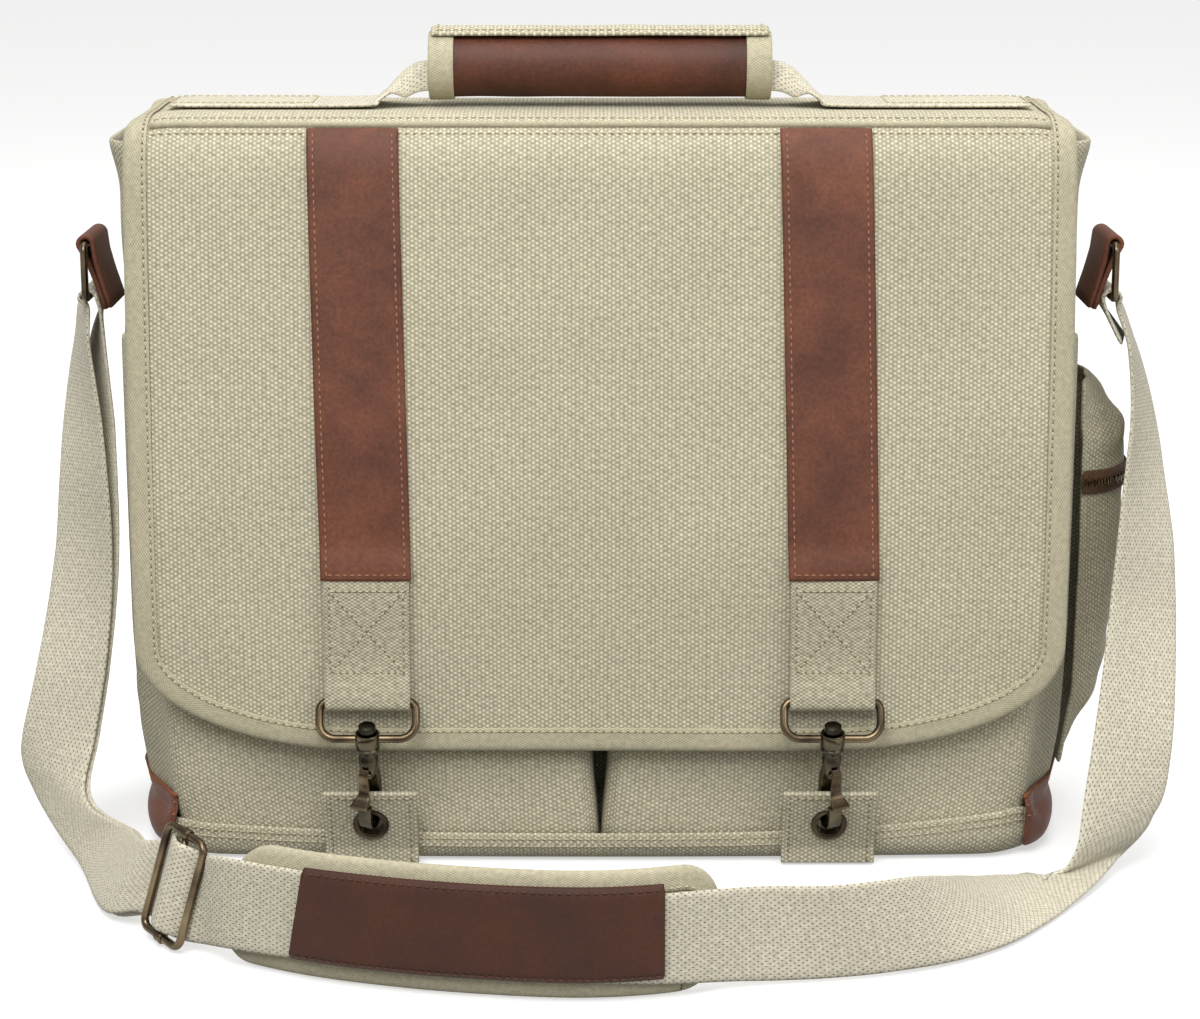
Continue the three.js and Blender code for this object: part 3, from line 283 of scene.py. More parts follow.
def tube(name, path, radius, material, sides=14, closed=False, **kept):
    """Round wire or roll along a path."""
    path = [Vector(p) for p in path]
    bm = bmesh.new()
    flat = bm.loops.layers.uv.new("cloth")
    steps = len(path) if closed else len(path) - 1
    bmesh.ops.create_grid(bm, x_segments=steps, y_segments=sides, size=0.5)
    frames = tube_frames(path, closed)
    way = lengths(path + path[:1])
    laid = {}
    for vert in bm.verts:
        step = round((vert.co.x + 0.5) * steps)
        i = step % len(path)
        angle = (vert.co.y + 0.5) * 2 * math.pi
        side, up = frames[i]
        laid[vert] = (way[step], angle * radius)
        vert.co = (path[i] + side * radius * math.cos(angle) + up * radius * math.sin(angle)) * MM
    for face in bm.faces:
        for loop in face.loops:
            loop[flat].uv = Vector(laid[loop.vert]) * MM
    bmesh.ops.remove_doubles(bm, verts=bm.verts, dist=MERGE * MM)
    bmesh.ops.holes_fill(bm, edges=bm.edges, sides=0)
    bmesh.ops.recalc_face_normals(bm, faces=bm.faces)
    return keep(name, bm, material, **kept)


def tube_frames(path, closed):
    """Two directions square to a path at each point, turned as little as the path allows."""
    frames = []
    up = None
    for i, point in enumerate(path):
        ahead = path[(i + 1) % len(path)] if closed else path[min(i + 1, len(path) - 1)]
        behind = path[i - 1] if closed or i else path[0]
        along = (ahead - behind).normalized()
        if up is None:
            up = along.orthogonal().normalized()
        up = (up - along * up.dot(along)).normalized()
        frames.append((along.cross(up), up))
    return frames


def smooth_rows(rows, steps):
    """Even rows of a table drawn through its own rows by a smooth curve."""
    out = []
    for i in range(len(rows) - 1):
        p = [rows[clamp(i + k, 0, len(rows) - 1)] for k in (-1, 0, 1, 2)]
        for j in range(steps):
            t = j / steps
            out.append([0.5 * (2 * b + (c - a) * t + (2 * a - 5 * b + 4 * c - d) * t * t
                               + (3 * b - a - 3 * c + d) * t ** 3) for a, b, c, d in zip(*p)])
    return out + [list(rows[-1])]


def row_at(rows, z):
    """Row of a table at any height, by straight lines between its rows."""
    for low, high in zip(rows, rows[1:]):
        if z <= high[0]:
            part = (z - low[0]) / (high[0] - low[0])
            return [mix(a, b, part) for a, b in zip(low, high)]
    return list(rows[-1])


def ripple(x, y, z, size, height):
    """Uneven lie of cloth: smooth noise of a size and height."""
    return noise.noise(Vector((x, y, z)) / size) * height


STITCH_ROWS = {}
STITCH_LONG, NEEDLE_RADIUS = 2.5, 0.46
WIDE_PITCH = 3.4


def stitch(kind, run, pitch=3.1, wide=0.42, holes=False):
    """Lens-shaped stitches along a run of points, gathered by kind and made at the end."""
    run = [Vector(p) for p in run]
    carried = pitch / 2
    for a, b in zip(run, run[1:]):
        length = (b - a).length
        while carried < length:
            along = (b - a).normalized()
            turn = along.to_track_quat("X", "Z").to_matrix().to_4x4()
            size = Matrix.Diagonal((STITCH_LONG / 2, wide, wide, 1))
            STITCH_ROWS.setdefault(kind, []).append(Matrix.Translation(a + along * carried) @ turn @ size)
            # A dark dot halfway between two stitches is painted shade in the needle's hole
            if holes:
                between = Matrix.Translation(a + along * (carried + pitch / 2))
                dot = between @ Matrix.Diagonal((NEEDLE_RADIUS, NEEDLE_RADIUS, NEEDLE_RADIUS, 1))
                STITCH_ROWS.setdefault(kind + "_holes", []).append(dot)
            carried += pitch
        carried -= length


def sew():
    """Makes each kind of stitch one piece."""
    for kind, places in STITCH_ROWS.items():
        bm = bmesh.new()
        for place in places:
            bmesh.ops.create_icosphere(bm, subdivisions=1, radius=1, matrix=Matrix.Scale(MM, 4) @ place)
        leather = kind.startswith("leather")
        material = LEATHER_THREAD if leather else CLOTH_THREAD
        if kind == "leather_patch":
            material = PATCH_THREAD
        # The dots at the needle holes take the dark material of painted shade
        if kind.endswith("holes"):
            material = NEEDLE_HOLE_SHADE
        keep(f"stitches_{kind}", bm, material, slot="leather" if leather else "canvas")


# Plan of bag and base, as spans with their steps
SPANS = ((6, "front"), (5, "turn"), (6, "side"), (5, "turn"), (14, "back"), (5, "turn"), (6, "side"),
         (5, "turn"), (6, "front"))
ROUND = sum(count for count, _ in SPANS)


def plan(half, front, back, corner):
    """Points round a rounded rectangle, from the middle of its front towards the right."""
    h, r = half, corner
    corners = [(h - r, front + r), (h - r, back - r), (r - h, back - r), (r - h, front + r)]
    starts = [(0, front), (h - r, front), (h, front + r), (h, back - r), (h - r, back), (r - h, back),
              (-h, back - r), (-h, front + r), (r - h, front), (0, front)]
    points = []
    turn = 0
    for k, (count, kind) in enumerate(SPANS):
        for i in range(count):
            if kind == "turn":
                angle = (turn - 1 + i / count) * math.pi / 2
                cx, cy = corners[turn]
                points.append((cx + r * math.cos(angle), cy + r * math.sin(angle)))
            else:
                points.append(tuple(mix(a, b, i / count) for a, b in zip(starts[k], starts[k + 1])))
        turn += kind == "turn"
    return points + [points[0]]


def lengths(points):
    """Way run along a line up to each of its points."""
    total = [0]
    for a, b in zip(points, points[1:]):
        total.append(total[-1] + math.dist(a, b))
    return total


# Main compartment: height, half its width, back and corner radius
BODY_FRONT, BODY_HALF, BODY_BACK, BODY_CORNER = -20, 208, 60, 18
BODY_ROWS = [(2.9, 188, 50, 18), (8.5, 195.4, 57.8, 20), (28, 203.4, 59, 20), (60, 208, 60, 17),
             (120, 209, 60, 18), (230, 208, 60, 18), (288, 208, 60, 18), (306, 211, 60, 18)]
BODY_STEPS = 44
# Heights between which the walls hang slack, and how far gussets and back give
SLACK_FOOT, SLACK_TOP = (30, 90), (285, 306)
GUSSET_GIVE, GUSSET_RIPPLE, BACK_RIPPLE = 1.2, (45, 2.2), (70, 1.6)
body_way = lengths(plan(BODY_HALF, BODY_FRONT, BODY_BACK, BODY_CORNER))


def body_shape(u, v):
    z = mix(BODY_ROWS[0][0], BODY_ROWS[-1][0], v)
    _, half, back, corner = row_at(BODY_ROWS, z)
    i = round(u * ROUND)
    x, y = plan(half - 1, BODY_FRONT + 1, back - 1, corner)[i]
    slack = ease(z, *SLACK_FOOT) * (1 - ease(z, *SLACK_TOP))
    x -= math.copysign(slack * (GUSSET_GIVE + ripple(x, y, z, *GUSSET_RIPPLE)) * ease(abs(x), 190, 205), x)
    y += slack * ripple(x, y, z, *BACK_RIPPLE) * ease(y, 40, 58)
    return (x, y, z), (body_way[i], z)


cloth("bag_body", ROUND, BODY_STEPS, body_shape, CANVAS, wall=CANVAS_WALL, joined=True, nodes=["main_body"])

# Base: a tray whose foot is given as inset and height, with a rim that climbs towards the front corners
BASE = {"half": 201, "front": -60, "back": 61, "corner": 22, "bow": 4, "taper": 0.07}
BASE_FOOT = [(50, 1), (41, 1), (21, 1), (11, 1), (7, 1), (4.4, 2.2), (2.2, 4.6)]
FOOT_ROWS = len(BASE_FOOT) - 1
WALL_ROWS, WALL_FOOT = 6, 7
BASE_RIM = 13
RIM_CLIMB, CLIMB_FADE = {"left": 6, "right": 14}, (185, 193)
foot_way = lengths(BASE_FOOT)
base_way = lengths(plan(BASE["half"], BASE["front"], BASE["back"], BASE["corner"]))


def base_point(i, inset, z):
    """Point of the base's plan, drawn in by an inset: bowed at the front, and narrower there."""
    h, f = BASE["half"] - inset, BASE["front"] + inset
    b, r = BASE["back"] - inset, BASE["corner"] - inset / 2
    x, y = plan(h, f, b, r)[i]
    forward = y / f if y < 0 else 0
    return Vector((x * (1 - BASE["taper"] * forward ** 2), y - BASE["bow"] * forward * (1 - (x / h) ** 2), z))


def rim_height(p):
    climb = RIM_CLIMB["left" if p.x < 0 else "right"] * (1 - ease(abs(p.x), *CLIMB_FADE))
    return BASE_RIM + climb * max(0, p.y / BASE["front"]) * abs(p.x / BASE["half"]) ** 3


def base_shape(u, v):
    i = round(u * ROUND)
    up = v * (FOOT_ROWS + WALL_ROWS)
    if up <= FOOT_ROWS:
        inset, z = BASE_FOOT[round(up)]
        p = base_point(i, inset, z)
    else:
        p = base_point(i, 1, WALL_FOOT)
        p.z = mix(WALL_FOOT, rim_height(p), (up - FOOT_ROWS) / WALL_ROWS)
        p.y += ripple(p.x, p.y, p.z, 30, 0.5)
    under = foot_way[round(min(up, FOOT_ROWS))] - foot_way[FOOT_ROWS]
    return p, (base_way[i], max(p.z, BASE_FOOT[FOOT_ROWS][1]) + under)


cloth("bag_base", ROUND, FOOT_ROWS + WALL_ROWS, base_shape, CANVAS, wall=CANVAS_WALL, joined=True,
      nodes=["base"])


def base_floor():
    """Flat middle of the base, inside the first row of its foot."""
    bm = bmesh.new()
    flat = bm.loops.layers.uv.new("cloth")
    ring = [bm.verts.new(base_point(i, *BASE_FOOT[0]) * MM) for i in range(ROUND)]
    bm.faces.new(ring)
    bmesh.ops.solidify(bm, geom=bm.faces[:] + bm.verts[:] + bm.edges[:], thickness=1.6 * MM)
    for face in bm.faces:
        for loop in face.loops:
            loop[flat].uv = loop.vert.co.xy
    bmesh.ops.recalc_face_normals(bm, faces=bm.faces)
    keep("bag_base_floor", bm, CANVAS, smooth=False)


base_floor()

for below_rim in (2.4, 5.6):
    run = [base_point(i, -0.25, 0) for i in range(ROUND + 1)]
    for p in run:
        p.z = rim_height(p) - below_rim
    stitch("base", run)

# Front pockets: height, front, half of the slit between them, and reach at the front and at the gusset
POCKET_ROWS = [(3.4, -50.5, 0.5, 174, 186), (9, -56.8, 0.5, 184, 195), (30, -57.2, 2.4, 188, 201),
               (50, -59, 3.8, 189, 204), (95, -60, 4.6, 190, 206), (160, -57, 5, 192, 206),
               (225, -47, 5, 194, 206)]
POCKET_BOW = 4
POCKET_STEPS = 34
POCKET_SPANS = (0.16, 0.28, 0.42, 0.55, 0.68, 0.78)
# The row that the cloth is measured along, and the points on the wall beside the slit
POCKET_MEASURE, SLIT_WALL = 10, 8


def pocket_path(z):
    """Plan of a front pocket at a height: out beside the slit, along the front, back to the gusset."""
    _, front, slit, near, far = row_at(POCKET_ROWS, z)
    seam = BODY_FRONT - 0.4

    def bowed(x):
        return front - POCKET_BOW * (1 - (x / near) ** 2)

    rough = [(slit, seam), (slit, bowed(slit) + 9), (slit + 3, bowed(slit) + 2), (slit + 9, bowed(slit))]
    rough += [(near * part, bowed(near * part)) for part in POCKET_SPANS]
    rough += [(near - 16, bowed(near - 16)), (near - 5, front + 4), (near, front + 14), (far, seam)]
    return smooth_rows(rough, 3)


def pocket(name, sign):
    levels = [mix(POCKET_ROWS[0][0], POCKET_ROWS[-1][0], k / POCKET_STEPS) for k in range(POCKET_STEPS + 1)]
    paths = [pocket_path(z) for z in levels]
    steps = len(paths[0]) - 1
    way = lengths(paths[POCKET_MEASURE])

    def shape(u, v):
        k = round(v * POCKET_STEPS)
        i = round(u * steps)
        x, y = paths[k][i]
        z = levels[k]
        face = ease(-y, 45, 55)
        sag = ripple(sign * x, z, 7, 42, 1.6) * ease(z, 12, 40)
        y += 1 + face * (sag + ripple(sign * x, z, 3, 14, 0.35))
        inward = 0.9 if i < SLIT_WALL else -0.8 * (1 - face)
        return (sign * (x + inward), y, z), (sign * way[i], z)

    cloth(f"front_pocket_cloth_{name}", steps, POCKET_STEPS, shape, CANVAS, wall=CANVAS_WALL,
          nodes=[f"front_pocket_{name}"])


for name, sign in SIDES:
    pocket(name, sign)

# Side pocket: part of its bulge from the front seam to the back one, then height and bulge, and its zip
SIDE_PLAN = [(0, -14), (0.5, -9), (0.82, 0), (1, 14), (0.92, 32), (0.62, 39.5), (0, 42)]
SIDE_FINE = 3
SIDE_COUNT = SIDE_FINE * (len(SIDE_PLAN) - 1)
SIDE_ROWS = [(28.5, 0.4), (42, 8), (60, 17), (90, 21), (120, 23), (172, 24), (183, 22), (191, 15.5),
             (197, 9), (201, 6)]
GATHER_RISE, GATHER_LOW, GATHER_HIGH = (166, 186), 1.4, 5
ZIP_Z, ZIP_HALF, ZIP_COUNT, ZIP_LIFT = 157, 5.5, 12, 1.8
TOOTH_PITCH, TOOTH_LIFT, TOOTH_STAGGER = 1.6, 2.6, 0.4
TOOTH_SIZE = (1.0, 1.3, 2.6)


def side_path(z, out=0.0):
    """Plan of the side pocket at a height, moved out from its face."""
    foot = row_at(BODY_ROWS, z)[1] + 0.4
    bulge = row_at(SIDE_ROWS, z)[1]
    face = [Vector(p) for p in smooth_rows([(foot + bulge * part, y) for part, y in SIDE_PLAN], SIDE_FINE)]
    moved_out = []
    for i, point in enumerate(face):
        along = (face[min(i + 1, len(face) - 1)] - face[max(i - 1, 0)]).normalized()
        moved_out.append(point + Vector((along.y, -along.x)) * out)
    return moved_out


side_way = lengths(side_path(150))


def side_strip(name, levels, rows, count, out, wall, material, **kept):
    """Strip of cloth round the side pocket, gathered towards its mouth."""
    def shape(u, v):
        z = mix(*levels, v)
        i = round(u * count)
        x, y = side_path(z, out)[i]
        inner = row_at(BODY_ROWS, z)[1] + 1.1
        gather = mix(GATHER_LOW, GATHER_HIGH, ease(z, *GATHER_RISE))
        x = max(x - 1 + ripple(y, z * 1.6, 2, 16, gather), inner)
        return (x, y, z), (side_way[i], z)

    cloth(name, count, rows, shape, material, wall=wall, **kept)


side_strip("side_pocket_cloth", (SIDE_ROWS[0][0], SIDE_ROWS[-1][0]), 46, SIDE_COUNT, 0, CANVAS_WALL, CANVAS,
           nodes=["side_pocket"])
side_strip("side_zip_cloth", (ZIP_Z - ZIP_HALF, ZIP_Z + ZIP_HALF), 3, ZIP_COUNT, ZIP_LIFT, TAPE_WALL,
           ZIP_TAPE, nodes=["side_zip_tape"], slot="zip_tape")


def zip_row():
    """Row of small teeth, each a bevelled block, set above and below the middle in turn."""
    bm = bmesh.new()
    path = side_path(ZIP_Z, TOOTH_LIFT)[:ZIP_COUNT + 1]
    way = lengths(path)
    for k in range(int(way[-1] / TOOTH_PITCH)):
        run = (k + 0.5) * TOOTH_PITCH
        i = max(n for n in range(len(way) - 1) if way[n] <= run)
        part = (run - way[i]) / (way[i + 1] - way[i])
        x, y = (mix(a, b, part) for a, b in zip(path[i], path[i + 1]))
        turn = math.atan2(path[i + 1][1] - path[i][1], path[i + 1][0] - path[i][0])
        lift = TOOTH_STAGGER if k % 2 else -TOOTH_STAGGER
        seat = Matrix.Translation(Vector((x - 0.5, y, ZIP_Z + lift)) * MM) @ Matrix.Rotation(turn, 4, "Z")
        size = Matrix.Diagonal((*(side * MM for side in TOOTH_SIZE), 1))
        made = bmesh.ops.create_cube(bm, size=1, matrix=seat @ size)
        edges = {edge for vert in made["verts"] for edge in vert.link_edges}
        bmesh.ops.bevel(bm, geom=list(edges), offset=0.18 * MM, segments=1, profile=0.5, affect="EDGES",
                        material=-1)
    keep("side_zip_row", bm, BRASS, nodes=["side_zip_teeth"], slot="antique_brass", smooth=False)


zip_row()

# Leather corners: height and inset from the base's plan
CORNER_ROWS = [(3, 2), (7, 0), (14, -0.4), (27, -3.6)]
CORNER_LOW, CORNER_TOP = CORNER_ROWS[0][0], CORNER_ROWS[-1][0]
CORNER_START, CORNER_COUNT, CORNER_LONG = 183, 26, 110
POCKET_END, GUSSET_FRONT = -7, -4


def part_way(points, part):
    """Point and outward normal at a part of the way along a line."""
    way = lengths(points)
    run = clamp(part) * way[-1]
    i = next(k for k in range(len(way) - 1) if way[k + 1] >= run - 1e-6)
    along = (points[min(i + 2, len(points) - 1)] - points[max(i - 1, 0)]).normalized()
    return points[i].lerp(points[i + 1], (run - way[i]) / (way[i + 1] - way[i])), Vector((along.y, -along.x))


def gusset_line(z):
    """Canvas under a leather corner at a height, from the pocket's front round to the bag's back."""
    _, half, back, corner = row_at(BODY_ROWS, z)
    side = [Vector(p) for p in plan(half, BODY_FRONT, back, corner)[:ROUND // 2]]
    gusset = [p for p in side if p.x > CORNER_START and p.y > GUSSET_FRONT]
    return [Vector(p) for p in pocket_path(z)[POCKET_END:-1]] + gusset


def corner_point(sign, part, z, lift):
    """Leather lies on the base's tray below and closes on the canvas above it."""
    inset = row_at(CORNER_ROWS, z)[1]
    tray = [base_point(i, inset, 0).xy for i in range(ROUND // 2)]
    first = next(i for i, p in enumerate(tray) if p.x > CORNER_START)
    part_in = (CORNER_START - tray[first - 1].x) / (tray[first].x - tray[first - 1].x)
    start = tray[first - 1].lerp(tray[first], part_in)
    tray = [start] + [p for p in tray[first:] if p.x > CORNER_START]
    low, out = part_way(tray, part)
    high, _ = part_way(gusset_line(z), part)
    rim = rim_height(Vector((sign * low.x, low.y, 0)))
    p = low.lerp(high + out * 0.4, ease(z, rim - 1, rim + 6)) + out * lift
    return Vector((sign * p.x, p.y, z))


def corner_piece(name, sign):
    def shape(u, v):
        z = mix(CORNER_LOW, CORNER_TOP, v)
        return corner_point(sign, u, z, 1.2), (u * CORNER_LONG, z)

    def run(z, lift):
        return [corner_point(sign, k / CORNER_COUNT, z, lift) for k in range(CORNER_COUNT + 1)]

    cloth(f"corner_leather_{name}", CORNER_COUNT, 10, shape, STRAP_LEATHER, wall=1.6,
          nodes=[f"leather_corner_{name}"], slot="leather")
    tube(f"corner_edge_{name}", run(CORNER_TOP, 1.2), 0.8, CUT_EDGE, sides=8, slot="leather")
    for drop in (3, 8):
        stitch("leather_corners", run(CORNER_TOP - drop, 2.0), pitch=WIDE_PITCH)


for name, sign in SIDES:
    corner_piece(name, sign)

# Flap, laid out flat as x across and s along, then bent over the bag
FLAP_HALF, FLAP_TAPER = 198, 3
CORNER_WIDE, CORNER_HIGH = 100, 44
CURL_WIDE, CURL_TOP, CURL_LOW = 20, 6, 2
CURL_RISE, HANG_SLACK = (42, 70), (190, 260)
FLAP_COLUMNS, FLAP_STRAIGHT, FLAP_TURN = 66, 56, 24
FLAP_PROFILE = [(64.2, 270), (64.4, 300), (64, 307), (59, 314), (46, 317.2), (0, 317.6), (-30, 317),
                (-40, 313), (-46, 303), (-50, 285), (-57, 240), (-64, 185), (-68, 140), (-69.3, 100),
                (-69.3, 54)]


def knotted(points, steps):
    """Curve through uneven points that doesn't swing out between them."""
    points = [Vector(p) for p in points]
    points = [points[0] * 2 - points[1]] + points + [points[-1] * 2 - points[-2]]
    out = []
    for a, b, c, d in zip(points, points[1:], points[2:], points[3:]):
        k0, k1, k2 = (math.sqrt((q - p).length) for p, q in ((a, b), (b, c), (c, d)))
        m0 = ((b - a) / k0 - (c - a) / (k0 + k1) + (c - b) / k1) * k1
        m1 = ((c - b) / k1 - (d - b) / (k1 + k2) + (d - c) / k2) * k1
        for j in range(steps):
            t = j / steps
            square, cube = c * 3 - b * 3 - m0 * 2 - m1, b * 2 - c * 2 + m0 + m1
            out.append(b + m0 * t + square * t * t + cube * t ** 3)
    return out + [points[-2]]


flap_line = knotted(FLAP_PROFILE, 12)
flap_way = lengths(flap_line)
FLAP_LENGTH = flap_way[-1]
FLAP_CORNER = FLAP_LENGTH - CORNER_HIGH


def flap_mid(s):
    """Middle of the sheet a way along the flap, and the direction it runs in."""
    s = clamp(s, 0, FLAP_LENGTH)
    i = next(k for k in range(len(flap_way) - 1) if flap_way[k + 1] >= s - 1e-6)
    part = (s - flap_way[i]) / (flap_way[i + 1] - flap_way[i])
    along = (flap_line[min(i + 2, len(flap_line) - 1)] - flap_line[max(i - 1, 0)]).normalized()
    return flap_line[i].lerp(flap_line[i + 1], part), along


def flap_half(s):
    """Half the flap's width, with its lower corners rounded off."""
    straight = FLAP_HALF - FLAP_TAPER * s / FLAP_LENGTH
    part = clamp(1 - (FLAP_LENGTH - s) / CORNER_HIGH)
    return straight - CORNER_WIDE * (1 - math.sqrt(1 - part * part))


def flap_point(x, s, lift):
    """Place of a point of the flat flap, lifted off it: its sides curl in and its front hangs uneven."""
    middle, along = flap_mid(s)
    straight = FLAP_HALF - FLAP_TAPER * s / FLAP_LENGTH
    edge = max(0, abs(x) - straight + CURL_WIDE) / CURL_WIDE
    lift -= mix(CURL_TOP, CURL_LOW, s / FLAP_LENGTH) * edge * edge * ease(s, *CURL_RISE)
    lift += ease(s, *HANG_SLACK) * ripple(x, s, 4, 85, 1.3)
    over = s - FLAP_LENGTH
    y = middle.x + along.y * lift + max(0, over) * along.x
    return Vector((x, y, middle.y - along.x * lift + max(0, over) * along.y))


def flap_station(z):
    """Way along the flap at which its front is at a height."""
    return next(s for s in (FLAP_LENGTH * (1 - k / 2000) for k in range(2000)) if flap_mid(s)[0].y >= z)


def flap_shape(u, v):
    row = v * (FLAP_STRAIGHT + FLAP_TURN)
    s = FLAP_CORNER * row / FLAP_STRAIGHT
    if row > FLAP_STRAIGHT:
        s = FLAP_CORNER + CORNER_HIGH * math.sin((row - FLAP_STRAIGHT) / FLAP_TURN * math.pi / 2)
    x = flap_half(s) * (2 * u - 1)
    return flap_point(x, s, 0), (x, s)


flap = cloth("flap_canvas", FLAP_COLUMNS, FLAP_STRAIGHT + FLAP_TURN, flap_shape, CANVAS, wall=CANVAS_WALL,
             nodes=["flap"])

# Folded tape round the flap's sides and lower edge: way in from the edge, and lift
TAPE = [(9, 1.5), (8.4, 1.75), (6, 1.8), (3.4, 1.85), (1, 1.8), (-0.7, 1.3), (-1.4, 0), (-0.7, -1.3),
        (1, -1.8), (8.4, -1.75), (9, -1.5)]
EDGE_SIDE, EDGE_TURN = 60, 24


def flap_edge():
    """Points along the flap's sides and lower edge, each with its direction inwards."""
    along = [FLAP_CORNER * k / EDGE_SIDE for k in range(EDGE_SIDE)]
    side = [(flap_half(s), s, -1, 0) for s in along]
    reach = flap_half(FLAP_LENGTH)
    turn = []
    for k in range(EDGE_TURN + 1):
        angle = k / EDGE_TURN * math.pi / 2
        s = FLAP_CORNER + CORNER_HIGH * math.sin(angle)
        slope = Vector((math.cos(angle) / CORNER_WIDE, math.sin(angle) / CORNER_HIGH)).normalized()
        turn.append((flap_half(s), s, -slope.x, -slope.y))
    low = [(reach * (1 - k / EDGE_TURN), FLAP_LENGTH, 0, -1) for k in range(1, EDGE_TURN)]
    half = side + turn + low
    return [(-x, s, -ix, i) for x, s, ix, i in half] + [(0, FLAP_LENGTH, 0, -1)] + half[::-1]


EDGE = flap_edge()
edge_way = lengths([flap_point(x, s, 0) for x, s, _, _ in EDGE])


def on_edge(k, inward, lift):
    x, s, ix, along = EDGE[k]
    return flap_point(x + ix * inward, s + along * inward, lift)


def tape_shape(u, v):
    k = round(u * (len(EDGE) - 1))
    inward, lift = TAPE[round(v * (len(TAPE) - 1))]
    pucker = ripple(edge_way[k], inward, 1, 7, 0.22)
    return on_edge(k, inward + pucker, lift + math.copysign(abs(pucker), lift)), (edge_way[k], inward)


cloth("flap_tape", len(EDGE) - 1, len(TAPE) - 1, tape_shape, BINDING, wall=TAPE_WALL, nodes=["flap_binding"],
      slot="binding")
stitch("binding", [on_edge(k, 7.4, 2.3) for k in range(len(EDGE))], pitch=WIDE_PITCH, holes=True)

# Raised seam along the flap's upper front edge
RIDGE, RIDGE_HALF, RIDGE_STEPS = flap_station(314.2), 187, 60
ridge_xs = [mix(-RIDGE_HALF, RIDGE_HALF, k / RIDGE_STEPS) for k in range(RIDGE_STEPS + 1)]
tube("flap_seam_cord", [flap_point(x, RIDGE, 1.1) for x in ridge_xs], 1.5, BINDING, sides=10, slot="binding")
for beside in (4.5, -6):
    stitch("seam", [flap_point(x, RIDGE + beside, 1.15) for x in ridge_xs], pitch=WIDE_PITCH)

# Leather straps on the flap
STRAP_X, STRAP_LEAN, STRAP_WIDE = 98, -4.5, 38
STRAP_S0, STRAP_S1 = flap_station(312), flap_station(128)
STRAP_SEAM, STRAP_END_SEAM = STRAP_WIDE / 2 - 2.6, STRAP_S1 - 2.5
STRAP_RISE = 2.4


def strap_point(sign, across, s, lift):
    """Place on a leather strap, which leans over slightly towards its top."""
    lean = STRAP_LEAN * (STRAP_S1 - s) / (STRAP_S1 - STRAP_S0)
    return flap_point(sign * STRAP_X + lean + across, s, lift)


def strap_rise(s):
    """The strap's lower end climbs over the webbing tab that is sewn in under it."""
    return STRAP_RISE * ease(s, STRAP_S1 - 16, STRAP_S1 - 3)


def leather_strap(name, sign):
    def shape(u, v):
        across = (u - 0.5) * STRAP_WIDE
        s = mix(STRAP_S0, STRAP_S1, v)
        rim = 0.35 * ease(abs(across), STRAP_WIDE / 2 - 5, STRAP_WIDE / 2)
        return strap_point(sign, across, s, 2.4 - rim + strap_rise(s)), (across, s)

    cloth(f"flap_leather_{name}", 14, 60, shape, STRAP_LEATHER, wall=LEATHER_WALL, crisp=0.8,
          nodes=[f"flap_strap_{name}"], slot="leather")
    along = [mix(STRAP_S0 + 2, STRAP_END_SEAM, k / 50) for k in range(51)]
    for across in (-STRAP_SEAM, STRAP_SEAM):
        stitch("leather_straps", [strap_point(sign, across, s, 3.25 + strap_rise(s)) for s in along])
    lift = 3.35 + strap_rise(STRAP_END_SEAM)
    across = [(k / 5 - 1) * STRAP_SEAM for k in range(11)]
    stitch("leather_straps", [strap_point(sign, x, STRAP_END_SEAM, lift) for x in across])


# Webbing tab folded round the snap's loop, with a boxed cross of stitches on its face
LOOP_Y, LOOP_Z, TAB_WIDE, TAB_FOLD = -74.65, 76.2, 36, 3
TAB_LINE = [(-71.9, 133), (-72.4, 129.5), (-73.6, 125.5), (-74.2, 118), (-74.2, 108), (-74.2, 98),
            (-74.6, 90), (-75.8, 84), (-77.2, 79)]
TAB_LINE += [(LOOP_Y + TAB_FOLD * math.cos(a), LOOP_Z - 0.8 + TAB_FOLD * math.sin(a))
             for a in (math.pi * (1 + k / 8) for k in range(9))]
TAB_LINE += [(-71.8, 82), (-71.8, 98), (-71.8, 113), (-71.8, 128.4)]
TAB_BOX_HALF, TAB_BOX_LOW, TAB_BOX_HIGH = 15.5, 89, 124
TAB_FACE = [(84, -76.65), (90, -75.45), (98, -75.05), (118, -75.05), (126, -74.4)]
tab_way = lengths(TAB_LINE)


def divided(run, count):
    """Points along each stretch of a run, its ends too."""
    parts = [k / count for k in range(count + 1)]
    return [tuple(mix(a, b, part) for a, b in zip(p, q)) for p, q in zip(run, run[1:]) for part in parts]


def webbing_tab(name, sign):
    def shape(u, v):
        k = round(v * (len(TAB_LINE) - 1))
        y, z = TAB_LINE[k]
        across = (u - 0.5) * TAB_WIDE
        return (sign * STRAP_X + across, y, z), (across, tab_way[k])

    cloth(f"tab_webbing_{name}", 12, len(TAB_LINE) - 1, shape, TAB_WEB, wall=1.6, crisp=0.5,
          nodes=[f"webbing_tab_{name}"], slot="webbing")
    x0, x1 = sign * STRAP_X - TAB_BOX_HALF, sign * STRAP_X + TAB_BOX_HALF
    a, b, c, d = (x0, TAB_BOX_HIGH), (x1, TAB_BOX_HIGH), (x1, TAB_BOX_LOW), (x0, TAB_BOX_LOW)
    for run in ((a, b, c, d, a), (a, c), (b, d)):
        on_face = [(x, row_at(TAB_FACE, z)[1], z) for x, z in divided(run, 12)]
        stitch("tabs", on_face, pitch=2.9, wide=0.36, holes=True)


for name, sign in SIDES:
    leather_strap(name, sign)
    webbing_tab(name, sign)


